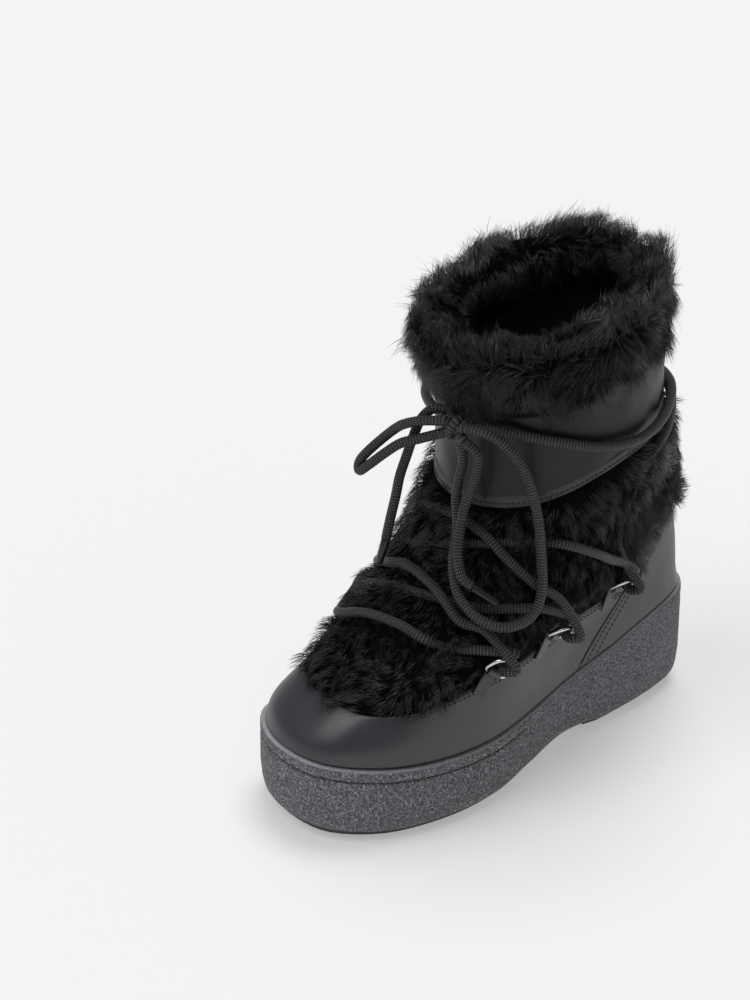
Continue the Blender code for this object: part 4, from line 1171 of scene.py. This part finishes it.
def collar_fur():
    """The cuff's long hair, combed down from the rim outside and inside."""
    points, table = collar_rows()
    round_way = np.roll(points, -1, axis=1) - np.roll(points, 1, axis=1)
    along_way = unit(np.gradient(points, axis=0))
    normal = unit(np.cross(round_way, along_way))
    points = points + (2.6 * noise(points, 27.0, 31))[..., None] * normal
    rise, up, length = (table[:, n][:, None] for n in (2, 3, 4))
    fall = np.zeros(points.shape)
    fall[..., 2] = up
    middle = points.mean(axis=(0, 1))
    away = unit((points - middle) * np.array([1.0, 1.0, 0.0]))
    comb = fall + 0.35 * away
    comb = comb - (comb * normal).sum(-1, keepdims=True) * normal
    comb = unit(comb + 0.02 * along_way)
    comb = swirled(comb, normal, points, COLLAR_SWIRLS, 41)
    stand = 0.8 + 0.07 * rise + 0.3 * noise(points, 20.0, 43)
    long = length * (1.0 + 0.12 * noise(points, 16.0, 44))
    grows = np.where(length > BARE_LENGTH, 1.0, 0.0) * np.ones(points.shape[:2])
    base = fur_base("collar_backing", points, normal, comb, stand, long, grows, True)
    place_piece(base, "black_fur", "collar_fur")
    tufts = make_tufts("collar_tufts", 0.2, 0.0095, 51)
    for number in range(COLLAR_LAYERS):
        fur = grow_fur(f"collar_fur_{number + 1}", base, tufts, COLLAR_TRIANGLES, 0.36, 60 + number)
        place_piece(fur, "black_fur", "collar_fur")
    clear_tufts(tufts)


# The wire rings, by the column where each stands at the rand's edge.
RING_COLUMNS = (
    # side, number, column
    ("medial", 1, 5.9), ("medial", 2, 8.7), ("medial", 3, 13.1), ("lateral", 1, 34.2), ("lateral", 2, 31.8),
    ("lateral", 3, 27.8),
)
WIRE_RADIUS = 1.1
RING_WIDE = 6.5
RING_TALL = 12.5
RING_CORNER = 1.6
RING_PLAY = 1.8
RING_LEAN = math.radians(45)
LATERAL_LEAN = math.radians(12)
BAR_OUT = 6.1
BAR_OVER_EDGE = 7.0
TAB_WIDE = 8.0
TAB_LONG = 15.0
TAB_THICK = 1.1
TAB_PLAY = 0.4


def ring_frame(column):
    """A ring's bar centre and its directions: along the bar, up the boot and straight out."""
    edge = round_boot(RAND_TOP, column)
    base = on_upper(column, edge)
    up = unit(on_upper(column, edge + 0.3) - base)
    out = unit(np.cross(on_upper(column + 0.3, edge) - base, up))
    side = np.cross(up, out)
    return base + BAR_OUT * out + BAR_OVER_EDGE * up, side, up, out


def ring_plane(column):
    """The ring's own up and outward directions, leaning away from the boot."""
    centre, side, up, out = ring_frame(column)
    lean = RING_LEAN if column < COLUMNS / 2 else LATERAL_LEAN
    lean_up = math.cos(lean) * up + math.sin(lean) * out
    lean_out = math.cos(lean) * out - math.sin(lean) * up
    return centre, side, lean_up, lean_out


def sweep(name, line, radius, material, sides=14, closed=False, taper=1.0):
    """A round tube along a line in millimetres, with a UV map: round it, and its length in mm."""
    line = np.array(line, float)
    count = len(line)
    if closed:
        way = unit(np.roll(line, -1, 0) - np.roll(line, 1, 0))
    else:
        way = unit(np.gradient(line, axis=0))
    start = np.cross(way[0], [0.0, 0.0, 1.0])
    if np.linalg.norm(start) < 0.1:
        start = np.cross(way[0], [1.0, 0.0, 0.0])
    across = [unit(start)]
    for k in [*range(1, count), 0]:
        across.append(unit(across[-1] - (across[-1] @ way[k]) * way[k]))
    final = across.pop()
    across = np.array(across)
    if closed:
        twist = math.atan2(final @ np.cross(way[0], across[0]), final @ across[0])
        angle = (-twist * np.arange(count) / count)[:, None]
        across = across * np.cos(angle) + np.cross(way, across) * np.sin(angle)
    beside = np.cross(way, across)
    turn = (2 * math.pi * np.arange(sides) / sides)[None, :, None]
    wide = (radius * (np.ones(count) * taper))[:, None, None]
    out = np.cos(turn) * across[:, None, :] + np.sin(turn) * beside[:, None, :]
    rings = line[:, None, :] + wide * out
    run = run_along(line)
    faces = net(rings, True, closed_along=closed)
    if not closed:
        faces += [list(range(sides))[::-1], list(range((count - 1) * sides, count * sides))]
    mesh = bpy.data.meshes.new(name)
    mesh.from_pydata((rings.reshape(-1, 3) * MM).tolist(), [], faces)
    sheet = mesh.uv_layers.new(name="UVMap")
    for polygon in mesh.polygons:
        spots = [v % sides for v in polygon.vertices]
        wraps = max(spots) - min(spots) > sides // 2
        for loop, vertex in zip(polygon.loop_indices, polygon.vertices):
            spot = vertex % sides
            if wraps and spot < sides // 2:
                spot += sides
            sheet.data[loop].uv = (spot / sides, run[vertex // sides])
    return finished(name, mesh, material, 60.0, False)


def make_ring(side_name, number, column):
    """A D-ring of wire, straight at its bar and round at its arch."""
    centre, side, up, _ = ring_plane(column)
    straight = RING_TALL - RING_WIDE
    shape = [(-RING_WIDE + RING_CORNER, 0.0), (0.0, 0.0), (RING_WIDE - RING_CORNER, 0.0)]
    shape += [(RING_WIDE - 0.3, 0.5), (RING_WIDE, RING_CORNER), (RING_WIDE, straight)]
    arc = np.radians(np.linspace(15, 165, 11))
    shape += [(RING_WIDE * math.cos(a), straight + RING_WIDE * math.sin(a)) for a in arc]
    shape += [(-RING_WIDE, straight), (-RING_WIDE, RING_CORNER), (-RING_WIDE + 0.3, 0.5)]
    points = np.array([centre + x * side + y * up for x, y in shape])
    name = f"ring_{side_name}_{number}"
    piece = sweep("wire_" + name, spline(points, 3, closed=True), WIRE_RADIUS, look("steel"), 10, True)
    place_piece(piece, "ring_metal", name)


def make_tab(side_name, number, column):
    """A leather strip on the rand whose head turns over the ring's bar."""
    centre, side, up, out = ring_frame(column)
    hole = WIRE_RADIUS + TAB_PLAY
    outer = hole + TAB_THICK
    turns = np.radians(np.linspace(-80, 180, 14))
    section = [(-TAB_LONG, -outer), (-TAB_LONG / 2, -outer), (-0.5, -outer)]
    section += [(outer * math.cos(t), outer * math.sin(t)) for t in turns]
    section += [(hole * math.cos(t), hole * math.sin(t)) for t in reversed(turns)]
    section += [(-0.5, -hole), (-TAB_LONG / 2, -hole), (-TAB_LONG, -hole)]
    count = len(section)
    rows = []
    for across in np.linspace(-TAB_WIDE / 2, TAB_WIDE / 2, 5):
        rows.append([centre + across * side + s * up + n * out for s, n in section])
    rows = np.array(rows)
    faces = net(rows, True) + [list(range(count))[::-1], list(range(4 * count, 5 * count))]
    name = f"tab_{side_name}_{number}"
    piece = mesh_piece("leather_" + name, rows.reshape(-1, 3), faces, look("leather"), 45.0)
    piece = round_edges(piece, 0.3)
    place_piece(piece, "rand_leather", name)


def round_edges(piece, width_mm):
    """The piece with its sharp edges rounded."""
    made = piece.modifiers.new("rounding", "BEVEL")
    made.width = width_mm * MM
    made.segments = 2
    made.limit_method = "ANGLE"
    made.angle_limit = math.radians(55)
    made.harden_normals = False
    return plain_mesh(piece, piece.name)


LACE_RADIUS = 2.7
LACE_FIRST = (
    (0.45, 11.42, 9.0), (38.2, 11.35, 8.8), (35.0, 11.0, 8.5), (31.5, 10.5, 8.4), (28.0, 10.15, 8.5),
    (24.0, 9.95, 8.5), (20.0, 9.8, 8.5), (17.0, 9.55, 8.5), (14.5, 9.2, 7.4), (12.4, 8.8, 5.0),
    (11.3, 8.0, 4.0), (11.3, 6.8, 4.4), (12.0, 5.6, 9.0), ("medial", 3), (12.0, 5.4, 12.0),
    (10.4, 6.3, 11.4), (8.8, 7.1, 11.0), (7.0, 7.75, 9.6), (5.7, 7.95, 5.2), (3.0, 8.0, 5.0),
    (39.8, 7.6, 5.5), (37.0, 6.9, 5.5), (34.5, 5.7, 8.0), ("lateral", 2), (35.0, 5.6, 9.5),
    (37.35, 6.3, 10.8), (39.07, 6.7, 11.2), (1.38, 6.48, 11.4), (3.23, 5.67, 11.8), (4.5, 5.3, 12.2),
    ("medial", 1), (4.7, 4.7, 8.5), (3.9, 4.8, 4.6), (2.9, 4.98, 4.8), (2.1, 5.08, 9.8), (0.71, 5.25, 11.2),
    (38.5, 5.01, 11.2), (36.6, 4.3, 10.6), (35.2, 4.0, 9.0),
)
LACE_SECOND = (
    ("lateral", 1), (36.0, 5.2, 8.0), (38.2, 6.0, 5.5), (0.8, 6.3, 5.2), (4.0, 6.1, 6.0), (6.8, 5.7, 10.5),
    ("medial", 2), (7.4, 5.9, 12.6), (5.67, 6.78, 11.6), (3.97, 7.66, 11.2), (2.95, 8.16, 10.0),
    (1.5, 8.5, 6.5), (39.0, 8.5, 5.5), (35.6, 7.8, 5.5), (31.8, 7.0, 6.0), (29.2, 5.7, 9.0), ("lateral", 3),
    (28.8, 6.0, 10.0), (28.6, 7.4, 6.5), (27.0, 8.6, 6.5), (25.0, 9.2, 8.2), (22.4, 9.4, 8.5),
    (19.5, 9.65, 8.5), (16.5, 9.85, 8.5), (13.6, 9.85, 8.5), (11.0, 9.95, 8.5), (8.4, 10.35, 8.5),
    (6.2, 10.85, 8.5), (4.2, 11.2, 8.5), (2.25, 11.4, 9.2),
)


def through_ring(side, number):
    """The lace's turn over a ring's arch, from outside it, through it, to behind it."""
    column = next(c for name, n, c in RING_COLUMNS if (name, n) == (side, number))
    centre, _, up, out = ring_plane(column)
    reach = WIRE_RADIUS + LACE_RADIUS + RING_PLAY
    arch = centre + RING_TALL * up
    turns = np.radians((-35, 10, 50, 90, 130, 170, 215))
    return [arch + reach * (math.cos(t) * out - math.sin(t) * up) for t in turns]


def route_points(route):
    """The route's points in millimetres."""
    found = []
    outward = True
    for stop in route:
        if isinstance(stop[0], str):
            turn = through_ring(*stop)
            found += turn if outward else turn[::-1]
            outward = not outward
        else:
            found.append(on_upper(*stop))
    return np.array(found)


def even_line(points, spacing):
    """The smooth curve through points at an even spacing."""
    fine = spline(points, 24)
    run = run_along(fine)
    count = max(4, int(round(run[-1] / spacing)))
    return read_along(np.linspace(0, run[-1], count + 1), run, fine)


def make_crossings():
    """The lace through the six rings and twice round the ankle, as one run."""
    line = even_line(np.vstack([route_points(LACE_FIRST), route_points(LACE_SECOND)]), 1.3)
    piece = sweep("lace_crossing_runs", line, LACE_RADIUS, look("cord"))
    place_piece(piece, "lace_cord", "lace_crossings")


KNOT_AT = (11.0, -33.5, 214.0)
LOOP_SHORT = (
    (4.0, -39.0, 216.4), (-4.0, -44.5, 215.0), (-12.0, -48.5, 211.5), (-18.0, -50.0, 207.0),
    (-25.0, -54.0, 199.0), (-31.0, -60.0, 190.0), (-34.0, -62.0, 184.0), (-32.0, -63.5, 180.5),
    (-27.0, -62.0, 185.0), (-19.0, -57.0, 194.0), (-12.0, -52.0, 201.0), (-4.0, -46.5, 205.0),
    (5.1, -38.5, 209.4),
)
LOOP_LONG = (
    (15.0, -34.0, 206.2), (16.0, -33.0, 196.0), (14.0, -34.0, 184.0), (14.0, -35.5, 172.0),
    (18.0, -38.0, 157.0), (23.5, -45.5, 143.5), (32.5, -51.0, 131.5), (43.5, -51.5, 124.0),
    (53.0, -47.5, 119.0), (59.5, -39.5, 116.5), (62.0, -28.0, 117.0), (61.5, -19.5, 122.0),
    (59.0, -14.0, 132.0), (55.0, -12.0, 151.0), (52.0, -11.5, 167.0), (49.0, -13.0, 181.0),
    (46.0, -15.5, 193.0), (42.0, -20.0, 204.0), (36.0, -26.0, 213.0), (29.0, -31.5, 217.0),
    (20.6, -34.4, 216.8),
)
END_FRONT = (
    (1.6, -32.4, 219.6), (-4.0, -36.0, 219.5), (-9.5, -39.5, 213.0), (-11.5, -43.5, 203.0),
    (-14.0, -46.0, 191.0), (-16.0, -49.0, 179.0), (-17.0, -51.0, 167.0), (-18.5, -53.0, 155.0),
    (-19.0, -56.0, 142.0),
)
END_FRONT_TIP = (-20.0, -60.0, 128.0)
END_SIDE = (
    (20.0, -35.2, 208.8), (25.0, -31.0, 202.0), (24.5, -31.0, 192.0), (22.5, -33.0, 180.0),
    (21.5, -36.5, 171.0), (23.0, -40.5, 160.0), (27.0, -45.5, 149.0), (34.0, -48.5, 139.0),
    (39.5, -46.0, 134.5),
)
END_SIDE_TIP = (51.0, -38.5, 126.5)
AGLET_RADIUS = 2.3
BOW = (
    ("lace_loop_short", LOOP_SHORT), ("lace_loop_long", LOOP_LONG), ("lace_end_front", END_FRONT),
    ("lace_end_side", END_SIDE),
)


def make_aglet(name, route, tip):
    """A free end's plastic tip, from the end of its cord."""
    start, tip = np.array(route[-1]), np.array(tip)
    way = unit(tip - start)
    shares = np.array([0.0, 0.03, 0.5, 0.94, 0.985, 1.0])
    line = start + 0.7 * way + shares[:, None] * (tip - start - 0.7 * way)
    taper = [1.02, 1.06, 1.0, 0.96, 0.85, 0.5]
    piece = sweep(name + "_tip", line, AGLET_RADIUS, look("tip"), 14, False, taper)
    return place_piece(piece, "aglet_plastic", name)


def make_bow():
    """The bow's two loops and two ends, each a free cord from the knot."""
    tips = {
        "lace_end_front": make_aglet("aglet_front", END_FRONT, END_FRONT_TIP),
        "lace_end_side": make_aglet("aglet_side", END_SIDE, END_SIDE_TIP),
    }
    for name, route in BOW:
        line = even_line(route, 1.0)
        piece = sweep("cord_" + name, line, LACE_RADIUS, look("cord"))
        place_piece(piece, "lace_cord", name)
        long = float(run_along(line)[-1]) * MM


WRAP_RADIUS = 2.75
LEAD_RADIUS = 2.78
# The knot's wraps: each is centre, half sizes and turn of one loop of cord round the bow.
KNOT_WRAPS = (
    # x, y, z, half across, half tall, turn about y, lean
    (0.0, -1.2, 0.0, 3.4, 5.2, 0.25, 0.15), (-3.4, 0.8, -1.6, 3.2, 4.3, -0.6, -0.35),
    (3.2, 0.8, 1.2, 3.0, 4.2, 0.75, 0.3),
)


def make_knot():
    """Three turns of cord drawn tight over one another, and the lead of each cord into them."""
    parts = []
    for n, (x, y, z, wide, tall, turn, lean) in enumerate(KNOT_WRAPS):
        angle = 2 * math.pi * np.arange(36) / 36
        ring = np.stack([0 * angle, wide * np.cos(angle), tall * np.sin(angle)], axis=1)
        ring[:, 0] += 1.2 * np.sin(angle)
        spin = Matrix.Rotation(turn, 3, "Y") @ Matrix.Rotation(lean, 3, "Z")
        ring = ring @ np.array(spin).T + np.array(KNOT_AT) + np.array([x, y, z])
        parts.append(sweep(f"knot_turn_{n + 1}", ring, WRAP_RADIUS, look("cord"), closed=True))
    ends = []
    for name, route in BOW:
        line = even_line(route, 1.0)
        ends.append((line[0], line[1]))
        if "loop" in name:
            ends.append((line[-1], line[-2]))
    first, second = (spline(route_points(route), 4) for route in (LACE_FIRST, LACE_SECOND))
    ends += [(first[0], first[1]), (second[-1], second[-2])]
    middle = np.array(KNOT_AT)
    for n, (end, before) in enumerate(ends):
        way = unit(end - before)
        core = middle + 0.3 * (end - middle)
        route = [end - 1.2 * way, end - 0.2 * way, end + 2.4 * way, core]
        parts.append(sweep(f"knot_lead_{n + 1}", even_line(route, 0.6), LEAD_RADIUS, look("cord")))
    for part in parts:
        place_piece(part, "lace_cord", "lace_knot")


def stitch_tree():
    """One stitch at each point of a path, lying along it and standing out of the surface."""
    sizes = (("Length", "Float"), ("Thickness", "Float"))
    inputs = (("Geometry", "Geometry"), *sizes, ("Material", "Material"))
    attributes = (("out", "FLOAT_VECTOR"), ("way", "FLOAT_VECTOR"))
    tree, given, read = new_tree("stitch_row", inputs, attributes)
    spots = add_node(tree, "GeometryNodeMeshToPoints", None, {"Mesh": given["Geometry"]})
    body = add_node(tree, "GeometryNodeMeshIcoSphere", None, {"Radius": 0.5, "Subdivisions": 2})
    soft = add_node(tree, "GeometryNodeSetShadeSmooth", None, {"Geometry": body.outputs["Mesh"]})
    axes = {0: given["Length"], 1: given["Thickness"], 2: given["Thickness"]}
    size = add_node(tree, "ShaderNodeCombineXYZ", None, axes)
    sockets = {
        "Points": spots.outputs[0],
        "Instance": soft.outputs[0],
        "Rotation": turned(tree, read["out"], read["way"]),
        "Scale": size.outputs[0],
    }
    sewn = add_node(tree, "GeometryNodeInstanceOnPoints", None, sockets)
    return end_tree(tree, sewn, given["Material"])


# The share of the pitch that a stitch's thread covers.
STITCH_SHARE = 0.72


def stitch_rows(name, lines, pitch, material, slot, thick):
    """Rows of stitches along lines of (point, outward) pairs on the boot."""
    spots, outs, ways = [], [], []
    for points, out in lines:
        run = run_along(points)
        at = np.arange(pitch / 2, run[-1], pitch)
        spots.append(read_along(at, run, points))
        outs.append(read_along(at, run, out))
        ways.append(unit(np.gradient(spots[-1], axis=0)))
    mesh = bpy.data.meshes.new(name)
    mesh.from_pydata((np.vstack(spots) * MM).tolist(), [], [])
    write_attribute(mesh, "out", np.vstack(outs))
    write_attribute(mesh, "way", np.vstack(ways))
    row = new_object(name + "_path", mesh)
    tree = bpy.data.node_groups.get("stitch_row") or stitch_tree()
    values = {"Length": STITCH_SHARE * pitch * MM, "Thickness": thick * MM, "Material": material}
    run_tree(row, tree, values)
    place_piece(plain_mesh(row, name), slot)


def make_stitches():
    """Two rows along the rand's turned edge and at each seam, one along the band."""
    rows = []
    for side in (1, -1):
        columns = side * column_run(3.6, SEAM_FOOT + SEAM_LEAN * 2.6, 0.2)
        edge = round_boot(RAND_TOP, columns)
        for drop in (0.16, 0.34):
            rows.append(surface_line(columns, edge - drop, rand_depth(columns, 0.95) + 0.08))
        rings = column_run(0.2, 3.6, 0.2)
        for shift in (0.35, 0.75):
            rows.append(surface_line(seam_column(rings, shift, side), rings, RAND_DEPTH + 0.05))
    stitch_rows("leather_stitches", rows, 2.9, look("seam"), "rand_leather", 0.7)
    columns = column_run(0, COLUMNS, 0.2)
    low, high = round_boot(BAND_LOW, columns), round_boot(BAND_HIGH, columns)
    band = [surface_line(columns, low + 0.045 * (high - low), BAND_OUTER - 0.2)]
    stitch_rows("band_stitches", band, 3.0, look("thread"), "coated_band", 0.8)


CAMERA_BACK = (0.6710, -0.5610, 0.4848)
CAMERA_RIGHT = (0.6414, 0.7672, 0.0)
CAMERA_UP = (-0.3719, 0.3110, 0.8746)
CAMERA_AWAY = 1587.5
CAMERA_SIDE = -61.06
CAMERA_RISE = 134.34


def make_camera(lens):
    """The camera at the photograph's viewing angle."""
    back, right, up = (np.array(v) for v in (CAMERA_BACK, CAMERA_RIGHT, CAMERA_UP))
    place = (CAMERA_AWAY * back + CAMERA_SIDE * right + CAMERA_RISE * up) * MM
    data = bpy.data.cameras.new("photo_camera")
    data.sensor_fit = "AUTO"
    data.sensor_width = 36.0
    data.lens = lens
    data.clip_start = 0.05
    data.clip_end = 50.0
    camera = new_object("photo_camera", data)
    turn = Matrix((right, up, back)).transposed().to_4x4()
    camera.matrix_world = Matrix.Translation(place) @ turn
    bpy.context.scene.camera = camera


# Soft lights far off: where each stands from the boot, how wide it looks and its strength.
SOFT_LIGHTS = (
    # name, place, width in degrees, watts a square metre
    ("overhead_softbox", (-0.15, 0.3, 1.0), 32.0, 1.56), ("front_softbox", (-0.1, -0.55, 0.95), 34.0, 0.8),
)

FLOOR_RADIUS = 9.0
FLOOR_BELOW = 0.0002


def make_stage(brightness):
    """The pale floor, the light from all round and the soft boxes."""
    work = bmesh.new()
    bmesh.ops.create_circle(work, cap_ends=True, radius=FLOOR_RADIUS, segments=96)
    mesh = bpy.data.meshes.new("studio_floor")
    work.to_mesh(mesh)
    work.free()
    white = (1.0, 1.0, 1.0, 1.0)
    paper = {"Emission Color": white, "Emission Strength": 0.34, "Specular IOR Level": 0.0}
    mesh.materials.append(new_material("studio_floor_paper", "#cccccc", 0.9, paper)[0])
    floor = new_object("studio_floor", mesh)
    floor.location = (0.0, 0.0, -FLOOR_BELOW)
    world = bpy.data.worlds.new("studio_world")
    world.use_nodes = True
    background = world.node_tree.nodes["Background"]
    background.inputs["Color"].default_value = white
    background.inputs["Strength"].default_value = brightness
    bpy.context.scene.world = world
    for name, place, wide, strength in SOFT_LIGHTS:
        data = bpy.data.lights.new(name, "SUN")
        data.angle = math.radians(wide)
        data.energy = strength
        lamp = new_object(name, data)
        lamp.location = place
        lamp.rotation_mode = "QUATERNION"
        lamp.rotation_quaternion = Vector(place).to_track_quat("Z", "Y")
    bpy.context.scene.view_settings.view_transform = "Standard"


class BootSizes(bpy.types.PropertyGroup):
    """Sizes that a user would change."""

    lens: bpy.props.FloatProperty(
        name="Lens", description="Focal length of the camera, in millimetres", default=100.8, min=10.0
    )
    brightness: bpy.props.FloatProperty(
        name="Room light", description="Strength of the light from all round", default=0.25, min=0.0
    )


class BOOT_OT_stage(bpy.types.Operator):
    """Makes the camera, the floor and the soft boxes"""

    bl_idname = "boot.stage"
    bl_label = "Stage"

    def execute(self, context):
        sizes = context.scene.boot_sizes
        make_camera(sizes.lens)
        make_stage(sizes.brightness)
        return {"FINISHED"}


class BOOT_OT_lace(bpy.types.Operator):
    """Runs the braided lace through the rings and ties its bow"""

    bl_idname = "boot.lace"
    bl_label = "Lace"

    def execute(self, context):
        make_crossings()
        make_bow()
        make_knot()
        return {"FINISHED"}


class BOOT_OT_sole(bpy.types.Operator):
    """Makes the foam cup sole, its tread pads and the foot bed"""

    bl_idname = "boot.sole"
    bl_label = "Sole"

    def execute(self, context):
        make_sole()
        make_footbed()
        make_tread("tread_pad_forefoot", column_run(-10, 10, 0.5), FOREFOOT_ROWS, "tread_forefoot")
        make_tread("tread_pad_heel", column_run(13, 27, 0.5), HEEL_ROWS, "tread_heel")
        return {"FINISHED"}


class BOOT_OT_leather(bpy.types.Operator):
    """Makes the shell, the rand, the heel counter, the band and their stitches"""

    bl_idname = "boot.leather"
    bl_label = "Leather"

    def execute(self, context):
        make_shell()
        make_leather()
        make_band()
        make_stitches()
        return {"FINISHED"}


class BOOT_OT_rings(bpy.types.Operator):
    """Makes the wire rings and their leather tabs"""

    bl_idname = "boot.rings"
    bl_label = "Rings and tabs"

    def execute(self, context):
        for side, number, column in RING_COLUMNS:
            make_ring(side, number, column)
            make_tab(side, number, column)
        return {"FINISHED"}


class BOOT_OT_fur(bpy.types.Operator):
    """Grows the short fur of the upper and the long fur of the cuff"""

    bl_idname = "boot.fur"
    bl_label = "Fur"

    def execute(self, context):
        short_fur("vamp_fur_hair", column_run(-VAMP_TO, VAMP_TO), "vamp_fur", 11)
        short_fur("quarter_fur_hair", column_run(VAMP_TO, COLUMNS - VAMP_TO), "quarter_fur", 21)
        collar_fur()
        return {"FINISHED"}


class BOOT_PT_panel(bpy.types.Panel):
    """Lists the boot's pieces in the sidebar"""

    bl_label = "Apres-ski boot"
    bl_idname = "BOOT_PT_panel"
    bl_space_type = "VIEW_3D"
    bl_region_type = "UI"
    bl_category = "Boot"

    def draw(self, context):
        sizes = context.scene.boot_sizes
        self.layout.prop(sizes, "lens")
        self.layout.prop(sizes, "brightness")
        for operator in OPERATORS:
            self.layout.operator(operator.bl_idname)


OPERATORS = (BOOT_OT_stage, BOOT_OT_lace, BOOT_OT_sole, BOOT_OT_leather, BOOT_OT_rings, BOOT_OT_fur)
CLASSES = (BootSizes, *OPERATORS, BOOT_PT_panel)


def register():
    for made in CLASSES:
        bpy.utils.register_class(made)
    bpy.types.Scene.boot_sizes = bpy.props.PointerProperty(type=BootSizes)


def unregister():
    del bpy.types.Scene.boot_sizes
    for made in reversed(CLASSES):
        bpy.utils.unregister_class(made)


def main():
    register()
    bpy.ops.boot.stage()
    bpy.ops.boot.lace()
    bpy.ops.boot.sole()
    bpy.ops.boot.leather()
    bpy.ops.boot.rings()
    bpy.ops.boot.fur()


if __name__ == "__main__":
    main()
